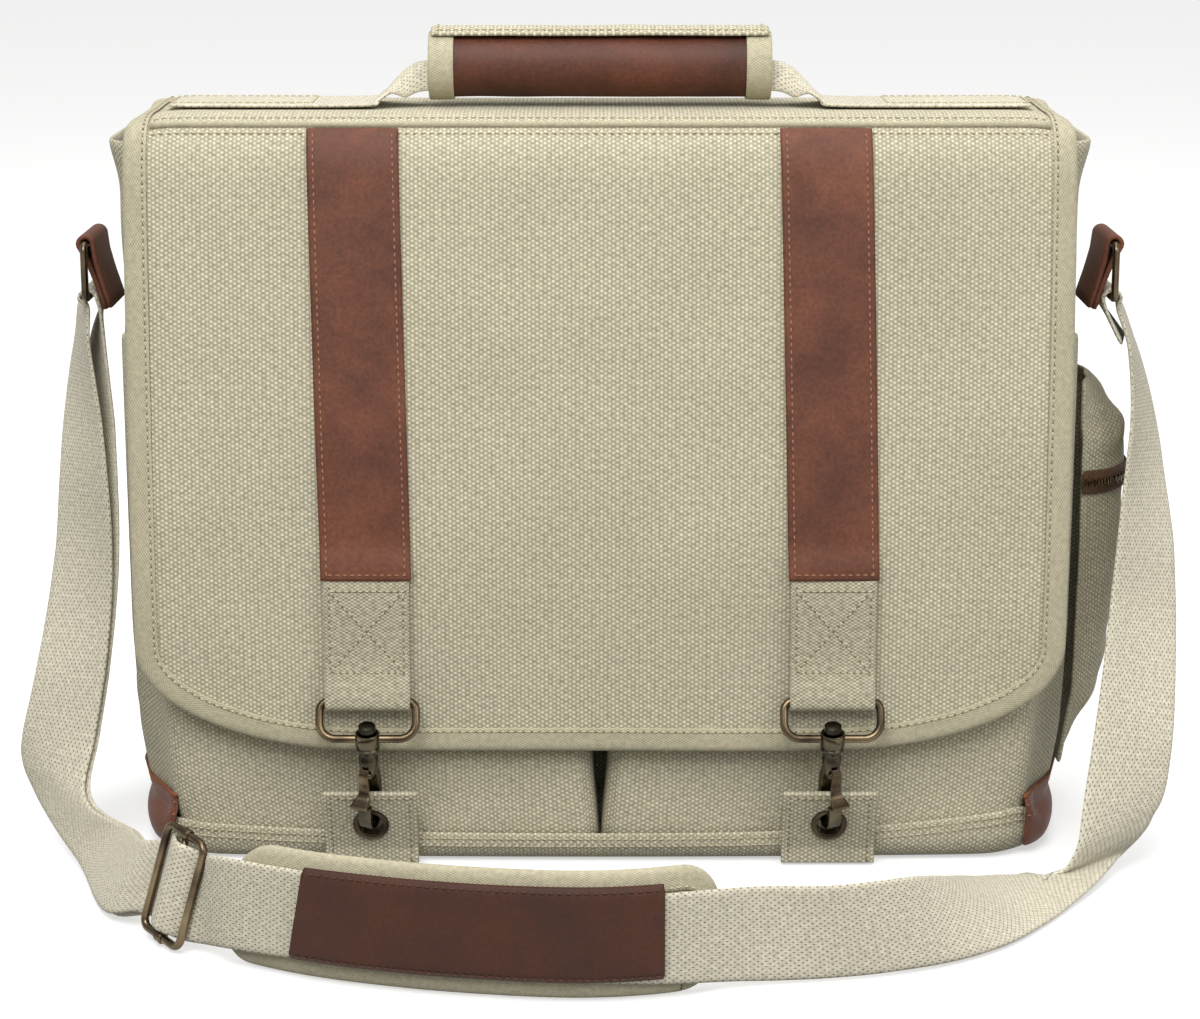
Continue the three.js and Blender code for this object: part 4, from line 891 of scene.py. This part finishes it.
# Turned, bent and cast metal
def turned(name, profile, seat, material, steps=32, **kept):
    """Profile of radius and height spun about its own upright axis, then set in its place."""
    bm = bmesh.new()
    verts = [bm.verts.new((r * MM, 0, h * MM)) for r, h in profile]
    edges = [bm.edges.new(pair) for pair in zip(verts, verts[1:])]
    bmesh.ops.spin(bm, geom=verts + edges, axis=(0, 0, 1), cent=(0, 0, 0), angle=2 * math.pi, steps=steps,
                   use_merge=True)
    bmesh.ops.remove_doubles(bm, verts=bm.verts, dist=MERGE * MM)
    bmesh.ops.recalc_face_normals(bm, faces=bm.faces)
    place = seat.copy()
    place.translation *= MM
    bmesh.ops.transform(bm, matrix=place, verts=bm.verts)
    piece = keep(name, bm, material, slot="antique_brass", **kept)
    piece.data.set_sharp_from_angle(angle=math.radians(40))


def bent_bar(name, line, widths, wall, seat, material, **kept):
    """Flat bar with worn edges, bent along a line in its own upright plane and set in its place."""
    line = knotted(line, 3)
    last = len(line) - 1

    def shape(u, v):
        x, z = line[round(v * last)]
        across = (u - 0.5) * row_at(widths, v)[1]
        return seat @ Vector((x, across, z)), (across, v * BAR_LONG)

    cloth(name, 4, last, shape, material, wall=wall, levels=2, crisp=0.35, slot="antique_brass", **kept)


def wire(name, path, radius, **kept):
    """Bent brass wire, closed into a ring."""
    tube(name, path, radius, BRASS, closed=True, slot="antique_brass", **kept)


def pin(name, path, radius):
    """Straight brass pin or bar."""
    tube(name, path, radius, BRASS, slot="antique_brass")


def rounded_path(half, low, high, low_radius, high_radius, steps=8):
    """Points round an upright rectangle with rounded corners."""
    upper, lower = high - high_radius, low + low_radius
    corners = [(half - high_radius, upper, high_radius), (high_radius - half, upper, high_radius),
               (low_radius - half, lower, low_radius), (half - low_radius, lower, low_radius)]
    points = []
    for k, (cx, cy, r) in enumerate(corners):
        for i in range(steps + 1):
            angle = (k + i / steps) * math.pi / 2
            points.append((cx + r * math.cos(angle), cy + r * math.sin(angle)))
    return points


# Swivel snap, about its own upright axis: where it hangs, how it tilts and turns, and its turned profiles
SNAP_Y, SNAP_Z, SNAP_TILT, SNAP_TURN = -78.4, 52.6, 15.3, 20
LOOP_HALF, LOOP_WIRE, LOOP_LOW_RADIUS, LOOP_HIGH_RADIUS, BOSS_Z = 20.4, 1.75, 7, 4.2, 9.2
BOSS = [(2.95, 6.2), (4.7, 6), (5.2, 6.6), (5.2, 11.8), (4.7, 12.4), (2.95, 12.2), (2.95, 6.2)]
COLLAR = [(2.6, 5.9), (4.3, 5.8), (4.9, 5.1), (4.9, 4.3), (4.2, 3.5), (3.7, 1.2), (4.2, 0.2), (4.1, -3),
          (3.3, -7), (1.8, -10), (0, -10.6)]
RIVET_HEAD = [(0, 16.2), (2.9, 16.2), (3.6, 15.7), (3.7, 13.4), (3.2, 12.9)]
BAR_LONG = 50
HOOK_BEND, HOOK_BEND_Z, HOOK_WIDE, HOOK_WALL = 5.2, -28.4, 5.6, 3.2
HOOK = [(0.4, 1.2), (-0.8, -3), (-3.2, -8), (-5, -13), (-HOOK_BEND, -20), (-HOOK_BEND, HOOK_BEND_Z)]
HOOK += [(-HOOK_BEND * math.cos(t), HOOK_BEND_Z - HOOK_BEND * math.sin(t))
         for t in (math.pi * k / 6 for k in range(1, 6))]
HOOK += [(HOOK_BEND, HOOK_BEND_Z), (HOOK_BEND, -22)]
HINGE_X, HINGE_Z, HINGE_HALF, HINGE_PIN = 3.6, -7, 2.7, 1.1
LEVER = [(4.4, -3.6), (5.6, -6), (5.7, -9), (5.3, -12.2), (5.8, -14.8), (7.2, -16.8), (10, -18.1),
         (12.2, -18.8)]
LEVER_WIDTHS, LEVER_WALL = [(0, 4.0), (0.6, 4.6), (0.8, 7.4), (1, 8)], 1.3


def swivel_snap(name, sign):
    tilt = Matrix.Rotation(math.radians(SNAP_TILT), 4, "X")
    turn = Matrix.Rotation(math.radians(sign * SNAP_TURN - 90), 4, "Z")
    seat = Matrix.Translation((sign * STRAP_X, SNAP_Y, SNAP_Z)) @ tilt @ turn
    middle = seat @ Vector((0, 0, BOSS_Z))
    top = Vector((middle.x, LOOP_Y, LOOP_Z))
    down = middle - top
    drop = down.length
    down.normalize()
    outline = rounded_path(LOOP_HALF, -drop, 0, LOOP_LOW_RADIUS, LOOP_HIGH_RADIUS)
    path = [top + Vector((across, 0, 0)) - down * along for across, along in outline]
    wire(f"snap_wire_{name}", path, LOOP_WIRE, nodes=[f"snap_loop_{name}"])
    turned(f"snap_boss_{name}", BOSS, seat, HOOK_BRONZE)
    turned(f"snap_collar_{name}", COLLAR, seat, HOOK_BRONZE)
    turned(f"snap_rivet_{name}", RIVET_HEAD, seat, RIVET)
    bent_bar(f"snap_hook_bar_{name}", HOOK, [(0, HOOK_WIDE), (1, HOOK_WIDE)], HOOK_WALL, seat, HOOK_BRONZE,
             nodes=[f"snap_hook_{name}"])
    hinge = [seat @ Vector((HINGE_X, side * HINGE_HALF, HINGE_Z)) for side in (-1, 1)]
    pin(f"snap_pin_{name}", hinge, HINGE_PIN)
    bent_bar(f"snap_lever_{name}", LEVER, LEVER_WIDTHS, LEVER_WALL, seat, BRASS, body=f"gate_{name}",
             nodes=[f"snap_gate_{name}"])


# Canvas catch tabs, as height and back face, and their eyelets
CATCH_ROWS = [(0.6, -63.4), (8, -63.8), (35.1, -72.4)]
CATCH_TILT = math.atan2(8.6, 27.1)
CATCH_WIDE, CATCH_LOW, CATCH_HIGH, CATCH_MID = 40, 0.8, 35.1, 1.3
CATCH_SEAM = [(-17, 3), (-17, 32.4), (17, 32.4), (17, 3)]
EYE_Z, EYE_HOLE = 20.2, 5.9
EYE_Y = row_at(CATCH_ROWS, EYE_Z)[1] - CATCH_MID / math.cos(CATCH_TILT)
EYELET = [(5.4, -2.2), (6.6, -2.3), (6.8, -1.7), (5.9, -1.6), (5.9, 1.6), (7.8, 1.7), (7.6, 2.2), (6.8, 2.6),
          (6.0, 2.5), (5.4, 1.9), (5.4, -2.2)]


def catch_tab(name, sign):
    centre = Vector((sign * STRAP_X, EYE_Y, EYE_Z))

    def shape(u, v):
        z = mix(CATCH_LOW, CATCH_HIGH, v)
        across = (u - 0.5) * CATCH_WIDE
        y = row_at(CATCH_ROWS, z)[1] - CATCH_MID + ripple(across, z, sign, 16, 0.5) * ease(z, 26, 35)
        return (sign * STRAP_X + across, y, z), (across, z)

    tab = cloth(f"catch_canvas_{name}", 32, 28, shape, CANVAS, wall=2.4, crisp=0.6,
                nodes=[f"catch_tab_{name}"])
    bm = bmesh.new()
    bm.from_mesh(tab.data)
    hole = [f for f in bm.faces if (f.calc_center_median() / MM - centre).length < EYE_HOLE]
    bmesh.ops.delete(bm, geom=hole, context="FACES")
    bm.to_mesh(tab.data)
    bm.free()
    seat = Matrix.Translation(centre) @ Matrix.Rotation(CATCH_TILT + math.pi / 2, 4, "X")
    turned(f"eyelet_ring_{name}", EYELET, seat, EYELET_BRONZE, nodes=[f"eyelet_{name}"])
    seam = divided(CATCH_SEAM, 8)
    run = [(sign * STRAP_X + x, row_at(CATCH_ROWS, z)[1] - 2 * CATCH_MID, z) for x, z in seam]
    stitch("catches", run, wide=0.36, holes=True)


for name, sign in SIDES:
    swivel_snap(name, sign)
    catch_tab(name, sign)

# Handle: webbing over the top that rises into a leather roll, with canvas ends and a canvas cover
WEB = 38
HANDLE_Y, HANDLE_SEAT, GRIP_Z, GRIP_RADIUS, GRIP_HALF = 4, 320.5, 336, 13.5, 73
CUFF_START, CUFF_RADIUS = 62, 14.3
COVER_HALF, COVER_RADIUS, COVER_BACK, COVER_FRONT = 72, 16.1, -25, 124
COVER_SEAM_X, COVER_SEAM = 69, COVER_FRONT - 9
HANDLE_BOX_IN, HANDLE_BOX_OUT, HANDLE_BOX_HALF = 122, 182, 15
# Webbing from its left end to the grip: place, rise and width
HANDLE_ROWS = [(-184, 0, WEB), (-104, 0, WEB), (-94, 2, 34), (-86, 9, 26), (-78, 14.6, 20.4), (-66, 15.3, 20)]
handle_rows = smooth_rows(HANDLE_ROWS, 5)
handle_rows += [[-x, rise, wide] for x, rise, wide in handle_rows[::-1]]
handle_way = lengths([row[:2] for row in handle_rows])


def handle_shape(u, v):
    """The webbing lies flat at its ends, and curls into the grip as it rises."""
    k = round(v * (len(handle_rows) - 1))
    x, rise, wide = handle_rows[k]
    curl = 2.5 * (u - 0.5) * ease(rise, 1, 13)
    across = (u - 0.5) * wide * (1 - 0.12 * abs(curl))
    drop = 7.5 * curl * curl - 1.6 * ease(rise, 1, 13)
    return (x, HANDLE_Y + across, HANDLE_SEAT + rise - drop), ((u - 0.5) * WEB, handle_way[k])


cloth("handle_webbing", 10, len(handle_rows) - 1, handle_shape, WEBBING, wall=WEB_WALL,
      nodes=["handle_strap"], slot="webbing")
for _, sign in SIDES:
    near, far = HANDLE_Y - HANDLE_BOX_HALF, HANDLE_Y + HANDLE_BOX_HALF
    box = [(HANDLE_BOX_OUT, near), (HANDLE_BOX_OUT, far), (HANDLE_BOX_IN, far), (HANDLE_BOX_IN, near)]
    stitch("handle", [(sign * x, y, HANDLE_SEAT + 1.05) for x, y in box + box[:1]])


def sleeve(name, x0, x1, columns, radius, start, end, material, wall, joined=False, **kept):
    """Sheet rolled about the handle's axis; angles go from the back, over the top, to the front."""
    def shape(u, v):
        x = mix(x0, x1, u)
        angle = math.radians(mix(start, end, v))
        r = radius + ripple(x, angle * radius, start, 22, 0.35)
        return (x, HANDLE_Y + r * math.cos(angle), GRIP_Z + r * math.sin(angle)), (x, angle * radius)

    cloth(name, columns, 28, shape, material, wall=wall, joined=joined, **kept)


sleeve("handle_leather", -GRIP_HALF, GRIP_HALF, 40, GRIP_RADIUS - 1, 0, 360, GRIP_LEATHER, LEATHER_WALL, True,
       nodes=["handle_grip"], slot="leather")
sleeve("handle_canvas", -COVER_HALF, COVER_HALF, 40, COVER_RADIUS, COVER_BACK, COVER_FRONT, CANVAS, 1.7,
       nodes=["handle_cover"])
for name, sign in SIDES:
    ends = sorted((sign * CUFF_START, sign * GRIP_HALF))
    sleeve(f"handle_end_{name}", *ends, 4, CUFF_RADIUS, 0, 360, BINDING, TAPE_WALL, True,
           nodes=[f"handle_cuff_{name}"])


def on_cover(x, angle):
    """Place of a stitch on the cover."""
    angle = math.radians(angle)
    r = COVER_RADIUS + 1.15
    return (x, HANDLE_Y + r * math.cos(angle), GRIP_Z + r * math.sin(angle))


stitch("cover", [on_cover(mix(-COVER_SEAM_X, COVER_SEAM_X, k / 30), COVER_SEAM) for k in range(31)])
for x in (-COVER_SEAM_X, COVER_SEAM_X):
    stitch("cover", [on_cover(x, mix(COVER_BACK, COVER_SEAM, k / 20)) for k in range(21)])

# Side rings on leather tabs
RING_X, RING_TOP, RING_LOW, RING_HALF = 219.5, 262, 239, 22.4
RING_CORNER, RING_WIRE = 3.2, 1.6
RING_ROOT = Vector((210.6, 234))
# The tab's two layers, as part of the way to the ring and way apart, and its turn over the ring
TAB_LAYERS, TAB_TURN = [(0, 1.1), (0.4, 1.1), (0.75, 1.6)], 3.1
RING_TAB_WIDE, RING_TAB_LONG, RING_TAB_SEAM = 36, 60, 15


def side_ring(name, sign):
    outline = rounded_path(RING_HALF, RING_LOW, RING_TOP, RING_CORNER, RING_CORNER)
    path = [(sign * RING_X, y, z) for y, z in outline]
    wire(f"ring_wire_{name}", path, RING_WIRE, nodes=[f"side_ring_{name}"])
    centre = Vector((RING_X, RING_TOP))
    along = (centre - RING_ROOT).normalized()
    out = Vector((along.y, -along.x))
    reach = (centre - RING_ROOT).length
    angles = [math.pi * k / 8 for k in range(9)]
    line = [RING_ROOT + along * reach * part - out * apart for part, apart in TAB_LAYERS]
    line += [centre + (along * math.sin(t) - out * math.cos(t)) * TAB_TURN for t in angles]
    line += [RING_ROOT + along * reach * part + out * apart for part, apart in TAB_LAYERS[::-1]]

    def shape(u, v):
        p = line[round(v * (len(line) - 1))]
        y = (u - 0.5) * RING_TAB_WIDE
        return (sign * p.x, y, p.y), (y, v * RING_TAB_LONG)

    cloth(f"ring_leather_{name}", 8, len(line) - 1, shape, STRAP_LEATHER, wall=LEATHER_WALL, crisp=0.5,
          nodes=[f"ring_tab_{name}"], slot="leather")
    for y in (-RING_TAB_SEAM, RING_TAB_SEAM):
        ends = [RING_ROOT + along * reach * part + out * 2.5 for part in (0.04, 0.7)]
        stitch("leather_ring_tabs", [(sign * p.x, y, p.y) for p in ends])


for name, sign in SIDES:
    side_ring(name, sign)

# Shoulder strap: middle of the band, way across it to its lower or outer edge, and its width
TURN_RADIUS, TURN_Z = 3.9, 238
TURN_OUT, TURN_IN = RING_X + TURN_RADIUS, RING_X - TURN_RADIUS
STRAP_LEFT = [
    (-TURN_OUT, 0, TURN_Z, 0, 1, 0, WEB), (-225.5, 0, 220, -11, 36, -2, WEB),
    (-225.5, -8, 183, -23, 32, -4, WEB), (-225, -14, 160, -27, 29, -4, WEB),
    (-225, -20, 131, -32, 27, -5, WEB), (-227, -27, 104, -36, 23, -5, WEB), (-231, -35, 75, -40, 20, -4, WEB),
    (-236, -40, 50, -40, 24, -1, 41), (-238.5, -44, 35, -37, 33, 5, 44), (-234.5, -50, 26, -35, 36, -1, 45),
    (-225, -62, 19, -31, 31, -13, 43), (-210, -83, 14.5, -26, 20, -25, 40),
    (-193, -132, 19, -18, 3, -33, WEB)]
STRAP_SLIDER = (-170, -157, 24.8, -10, -2, -36, WEB)
STRAP_FRONT = [
    (-146, -178, 25.5, -2, 0, -38, WEB), (-117, -194, 27, 0, 0, -1, 37), (-77, -207, 27, 0, 0, -1, 36),
    (-38, -214.5, 27, 0, 0, -1, 36), (-4, -217, 26, 0, 0, -1, 36), (24, -213, 24.5, 0, 0, -1, 37),
    (47, -204, 22.5, 0, -1, -36, WEB), (66, -197, 20.5, 2, -4, -36, WEB)]
STRAP_RIGHT = [
    (92, -194, 20, 4, -1, -37, WEB), (122, -184, 19.8, 10, -2, -36, WEB), (150, -158, 14.5, 24, -7, -26, WEB),
    (168, -130, 9, 29, -8, -14, WEB), (184, -106, 6, 34, -4, -6, WEB), (205, -86, 7, 36, 22, 2, 42),
    (214, -84, 13, 40, 24, 10, 44), (219, -82, 22, 40, 24, 8, 43), (223, -77, 36, 40, 17, -4, 41),
    (228, -66, 62, 41, 12, -10, WEB), (231.5, -53, 86, 40, 17, -10, WEB), (234.5, -39, 110, 38, 22, -9, WEB),
    (236.5, -27, 135, 34, 28, -8, WEB), (237, -16, 160, 26, 34, -7, WEB), (236.5, -7, 188, 17, 37, -6, WEB),
    (231, -1, 218, 8, 38, -2, WEB), (TURN_OUT, 0, TURN_Z, 0, 1, 0, WEB)]
# How far the spare layer at the left and the sewn end at the right lie inside the band. The rows of the
# right end are taken the other way, so its way is negative.
SPARE_GAPS, SEWN_GAPS = [7.8, 7, 6, 5, 4, 3], [0, -3]
STRAP_LOWEST = 1.2
SLIDER_REACH, SLIDER_HALF, SLIDER_WEAVE = 12.4, 22, 3.5
SLIDER_CORNER, SLIDER_WIRE, SLIDER_BAR, SLIDER_CURL = 4, 1.7, 1.5, 2.5
# The band's weave through the slider, as parts of its reach and of its lift
SLIDER_PATH = ((-1, -1), (-0.5, 0.2), (0, 1), (0.5, 0.2), (1, -1))


def band_frames(rows):
    """Middle of the band at each row, with its ways across, along and off its face."""
    out = []
    for i, row in enumerate(rows):
        along = (Vector(rows[min(i + 1, len(rows) - 1)][:3]) - Vector(rows[max(i - 1, 0)][:3])).normalized()
        reach = Vector(row[3:6]).normalized()
        out.append({"middle": Vector(row[:3]), "reach": reach, "along": along,
                    "normal": reach.cross(along).normalized(), "span": row[6]})
    return out


def moved(at, shift):
    """Row of the band at a frame, moved off it."""
    return (*(at["middle"] + shift), *at["reach"], at["span"])


def spare_layer(rows, gaps):
    """Second layer of the band behind some of its rows; the last gap holds for the rest."""
    frames = band_frames(rows)
    return [moved(at, at["normal"] * -gaps[min(i, len(gaps) - 1)]) for i, at in enumerate(frames)]


def over_bar(sign):
    """Turn of the band over the lower bar of a side ring."""
    return [(sign * RING_X + TURN_RADIUS * math.cos(t), 0, TURN_Z + TURN_RADIUS * math.sin(t), 0, 1, 0, WEB)
            for t in (math.pi * k / 6 for k in range(1, 6))]


slider = band_frames([STRAP_LEFT[-1], STRAP_SLIDER, STRAP_FRONT[0]])[1]
slider["along"] = slider["normal"].cross(slider["reach"]).normalized()


def strap_rows():
    """The whole band, from its end sewn at the slider to its end sewn at the right ring."""
    ahead, up = slider["along"], slider["normal"]
    weave = [moved(slider, ahead * along * SLIDER_REACH + up * lift * SLIDER_WEAVE)
             for along, lift in SLIDER_PATH]
    sewn = moved(slider, -ahead - up * 2.7)
    under = moved(slider, ahead * (-SLIDER_REACH - 1) - up * (SLIDER_WEAVE + 2.8))
    back = spare_layer(STRAP_LEFT, SPARE_GAPS)[1:]
    ending = spare_layer(STRAP_RIGHT[::-1], SEWN_GAPS)[1:2]
    inner_left, inner_right = ((sign * TURN_IN, 0, TURN_Z, 0, 1, 0, WEB) for sign in (-1, 1))
    left = [sewn, under] + back[::-1] + [inner_left] + over_bar(-1) + STRAP_LEFT
    return left + weave + STRAP_FRONT + STRAP_RIGHT + over_bar(1) + [inner_right] + ending


def smooth_band(rows, steps):
    """Finer rows of the band: a smooth curve for its middle, even changes for the rest."""
    middle = knotted([row[:3] for row in rows], steps)
    out = []
    for k, point in enumerate(middle):
        i, part = divmod(k, steps)
        near, far = rows[i], rows[min(i + 1, len(rows) - 1)]
        out.append((*point, *(mix(a, b, part / steps) for a, b in zip(near[3:], far[3:]))))
    return out


band = smooth_band(strap_rows(), 4)
band_line = band_frames(band)
band_way = lengths([row[:3] for row in band])


def band_shape(u, v):
    k = round(v * (len(band) - 1))
    at = band_line[k]
    across = (u - 0.5) * WEB
    rim = ripple(across, band_way[k], 5, 9, 0.25) * abs(u - 0.5) * 2
    place = at["middle"] + at["reach"] * across * at["span"] / WEB + at["normal"] * rim
    place.z = max(place.z, STRAP_LOWEST)
    return place, (across, band_way[k])


strap = cloth("strap_webbing", 10, len(band) - 1, band_shape, WEBBING, wall=WEB_WALL,
              nodes=["shoulder_strap"], slot="webbing")

# Slider: wire frame with a bar whose ends curl round it
slider_outline = rounded_path(SLIDER_HALF, -SLIDER_REACH, SLIDER_REACH, SLIDER_CORNER, SLIDER_CORNER)
slider_path = [slider["middle"] + slider["reach"] * across + slider["along"] * forward
               for across, forward in slider_outline]
wire("slider_wire", slider_path, SLIDER_WIRE, nodes=["strap_slider"])
bar_ends = [slider["middle"] + slider["reach"] * side * SLIDER_HALF for side in (-1, 1)]
pin("slider_bar", bar_ends, SLIDER_BAR)
for name, end in zip(("upper", "lower"), bar_ends):
    pin(f"slider_curl_{name}", [end + slider["along"] * part for part in (-1.7, -1.3, 1.3, 1.7)], SLIDER_CURL)

# Shoulder pad behind the strap, edged with tape, and the leather patch over the strap
PAD_PATH = [(-147.5, -176.7), (-143, -180), (-117, -194), (-77, -207), (-38, -214.5), (-4, -217), (24, -213),
            (40, -207), (47, -203.5)]
PAD_LOW, PAD_HIGH, PAD_CORNER, PAD_SHIFT, PAD_SLANT = 1.5, 50.5, 16, -5.1, 7
PAD_EDGE_HALF, PAD_EDGE_ROUND, PAD_SWELL = 1.7, 1.5, 1.2
PAD_MID, PAD_HALF = (PAD_LOW + PAD_HIGH) / 2, (PAD_HIGH - PAD_LOW) / 2
pad_line = knotted(PAD_PATH, 8)
pad_way = lengths(pad_line)
PAD_LENGTH = pad_way[-1]


def pad_point(s, z, lift):
    """Place a way along the pad and at a height, lifted off its middle; its left end slants."""
    s += PAD_SLANT * (z - PAD_MID) / PAD_HALF * (1 - ease(s, 0, 90))
    i = next((k for k in range(len(pad_way) - 2) if pad_way[k + 1] >= s), len(pad_way) - 2)
    a, b = pad_line[i], pad_line[i + 1]
    middle = a.lerp(b, (s - pad_way[i]) / (pad_way[i + 1] - pad_way[i]))
    along = (pad_line[min(i + 2, len(pad_line) - 1)] - pad_line[max(i - 1, 0)]).normalized()
    lift += PAD_SHIFT
    return Vector((middle.x + along.y * lift, middle.y - along.x * lift, z))


def pad_shape(u, v):
    """Front and back of the pad in one sheet, rolled round its upper and lower edges."""
    s = PAD_LENGTH * (1 - math.cos(math.pi * v)) / 2
    inset = max(0, PAD_CORNER - min(s, PAD_LENGTH - s))
    half = PAD_HALF - PAD_CORNER + math.sqrt(PAD_CORNER ** 2 - inset ** 2)
    turn = math.cos(2 * math.pi * u)
    z = PAD_MID + half * math.copysign(abs(turn) ** 0.6, turn)
    edge = max(0, min(s, PAD_LENGTH - s, half - abs(z - PAD_MID)))
    round_off = 1 - min(edge, PAD_EDGE_ROUND) / PAD_EDGE_ROUND
    thick = PAD_EDGE_HALF * math.sqrt(1 - round_off ** 2) + PAD_SWELL * ease(edge, 5, 16)
    lift = thick if u < 0.5 else -thick
    return pad_point(s, z, lift), (s, z)


pad = cloth("pad_canvas", 36, 50, pad_shape, CANVAS, joined=True, nodes=["shoulder_pad"])


def pad_outline():
    """Points round the pad's edge, each with its direction inwards."""
    r, far, low, high = PAD_CORNER, PAD_LENGTH, PAD_LOW, PAD_HIGH
    corners = [(far - r, low + r, -90), (far - r, high - r, 0), (r, high - r, 90), (r, low + r, 180)]

    def on_corner(s, z, angle):
        out = Vector((math.cos(math.radians(angle)), math.sin(math.radians(angle))))
        return (s + r * out.x, z + r * out.y, -out.x, -out.y)

    points = []
    for k, (s, z, start) in enumerate(corners):
        points += [on_corner(s, z, start + 90 * i / 8) for i in range(9)]
        last, ahead = points[-1], on_corner(*corners[(k + 1) % 4])
        count = max(2, round(math.dist(last[:2], ahead[:2]) / 5))
        straight = [[mix(a, b, i / count) for a, b in zip(last[:2], ahead[:2])] for i in range(1, count)]
        points += [(*point, *last[2:]) for point in straight]
    return points + points[:1]


PAD_EDGE = pad_outline()
PAD_TAPE = [(8, 2.3), (7.4, 2.75), (4, 2.5), (1.2, 2.1), (-0.5, 1.2), (-0.9, 0), (-0.5, -1.2), (1.2, -2.1),
            (7.4, -2.75), (8, -2.3)]
pad_edge_way = lengths([pad_point(s, z, 0) for s, z, _, _ in PAD_EDGE])


def on_pad_edge(k, inward, lift):
    s, z, i, j = PAD_EDGE[k]
    return pad_point(s + i * inward, z + j * inward, lift)


def pad_tape_shape(u, v):
    k = round(u * (len(PAD_EDGE) - 1))
    inward, lift = PAD_TAPE[round(v * (len(PAD_TAPE) - 1))]
    pucker = 1 + ripple(pad_edge_way[k], 0, 3, 6, 0.12)
    return on_pad_edge(k, inward, lift * pucker), (pad_edge_way[k], inward + lift)


cloth("pad_tape", len(PAD_EDGE) - 1, len(PAD_TAPE) - 1, pad_tape_shape, BINDING, wall=0.8, joined=True,
      slot="binding")
stitch("pad", [on_pad_edge(k, 6.6, 3.1) for k in range(len(PAD_EDGE))])

PATCH_LOW, PATCH_HIGH, PATCH_LIFT, PATCH_FALL, PATCH_SEAM = 9.2, 46.8, 7.3, 2.4, 1.4


def pad_station(x):
    """Way along the pad at which it reaches a place from left to right."""
    return next(pad_way[i] for i, point in enumerate(pad_line) if point.x >= x)


PATCH_START, PATCH_END = pad_station(-119), pad_station(23)


def patch_point(s, z, lift=0.0):
    """Place on the patch, whose upper and lower edges fall towards the pad."""
    middle = (PATCH_LOW + PATCH_HIGH) / 2
    fall = PATCH_FALL * ease(abs(z - middle), 16.5, 19.6)
    return pad_point(s, z, PATCH_LIFT + lift - fall)


def patch_shape(u, v):
    s, z = mix(PATCH_START, PATCH_END, u), mix(PATCH_LOW, PATCH_HIGH, v)
    return patch_point(s, z, ripple(s, z, 2, 26, 0.3)), (s, z)


cloth("patch_leather", 48, 16, patch_shape, PAD_LEATHER, wall=1.8, crisp=0.8, nodes=["pad_patch"],
      slot="leather")
patch_ways = [mix(PATCH_START + 2, PATCH_END - 2, k / 40) for k in range(41)]
for z in (PATCH_LOW + PATCH_SEAM, PATCH_HIGH - PATCH_SEAM):
    stitch("leather_patch", [patch_point(s, z, 1.1) for s in patch_ways], pitch=WIDE_PITCH)

sew()

# Studio in metres: white paper floor that glows faintly, soft light, and the camera that took the photograph
FLOOR_HALF, FLOOR_DROP, FLOOR_GLOW = 40, 0.0006, 0.5
SKY_LOW, SKY_HIGH, DIM, BRIGHT = -0.3, 0.1, 0.22, 0.6
LAMP_AIM = Vector((0, 0, 0.16))
CAMERA_PLACE, CAMERA_DOWN, CAMERA_LENS, CAMERA_SENSOR = (0, -1.256, 0.443), 13.5, 87.7, 36

floor_bm = bmesh.new()
bmesh.ops.create_grid(floor_bm, x_segments=1, y_segments=1, size=FLOOR_HALF)
floor_mesh = bpy.data.meshes.new("studio_floor")
floor_bm.to_mesh(floor_mesh)
floor_bm.free()
floor = bpy.data.objects.new("studio_floor", floor_mesh)
floor.location.z = -FLOOR_DROP
bpy.context.scene.collection.objects.link(floor)
# Matt white paper: an even, bright ground with soft shadows
floor_paper, _, floor_shader = begin("white_paper", 0.9, Emission_Strength=FLOOR_GLOW)
floor_shader.inputs["Base Color"].default_value = linear("#c6c6c5")
floor_shader.inputs["Emission Color"].default_value = linear("#ffffff")
floor_mesh.materials.append(floor_paper)
floor.visible_diffuse = False

world = bpy.data.worlds.new("studio")
world.use_nodes = True
heading = add(world.node_tree, "ShaderNodeTexCoord").outputs["Generated"]
height = add(world.node_tree, "ShaderNodeSeparateXYZ", {0: heading}).outputs["Z"]
sky = add(world.node_tree, "ShaderNodeMapRange",
          {0: height, 1: SKY_LOW, 2: SKY_HIGH, 3: DIM, 4: BRIGHT}).outputs[0]
world.node_tree.links.new(sky, world.node_tree.nodes["Background"].inputs["Strength"])
world.node_tree.nodes["Background"].inputs["Color"].default_value = linear("#ffffff")
bpy.context.scene.world = world


def lamp(name, place, size, power):
    """Soft square lamp, aimed at the middle of the bag."""
    light = bpy.data.lights.new(name, "AREA")
    light.size = size
    light.energy = power
    thing = bpy.data.objects.new(name, light)
    thing.location = place
    thing.rotation_euler = (LAMP_AIM - thing.location).to_track_quat("-Z", "Y").to_euler()
    bpy.context.scene.collection.objects.link(thing)


lamp("key", (-0.4, -1.7, 2.2), 1.6, 60)
lamp("fill", (1.6, -1.5, 1.4), 1.6, 16)
lamp("top", (0, 0.4, 2.4), 2.0, 24)

lens = bpy.data.cameras.new("photo_camera")
lens.lens = CAMERA_LENS
lens.sensor_width = CAMERA_SENSOR
camera = bpy.data.objects.new("photo_camera", lens)
camera.location = CAMERA_PLACE
camera.rotation_euler = (math.radians(90 - CAMERA_DOWN), 0, 0)
bpy.context.scene.collection.objects.link(camera)
bpy.context.scene.camera = camera
bpy.context.scene.view_settings.view_transform = "Standard"

bpy.context.view_layer.update()
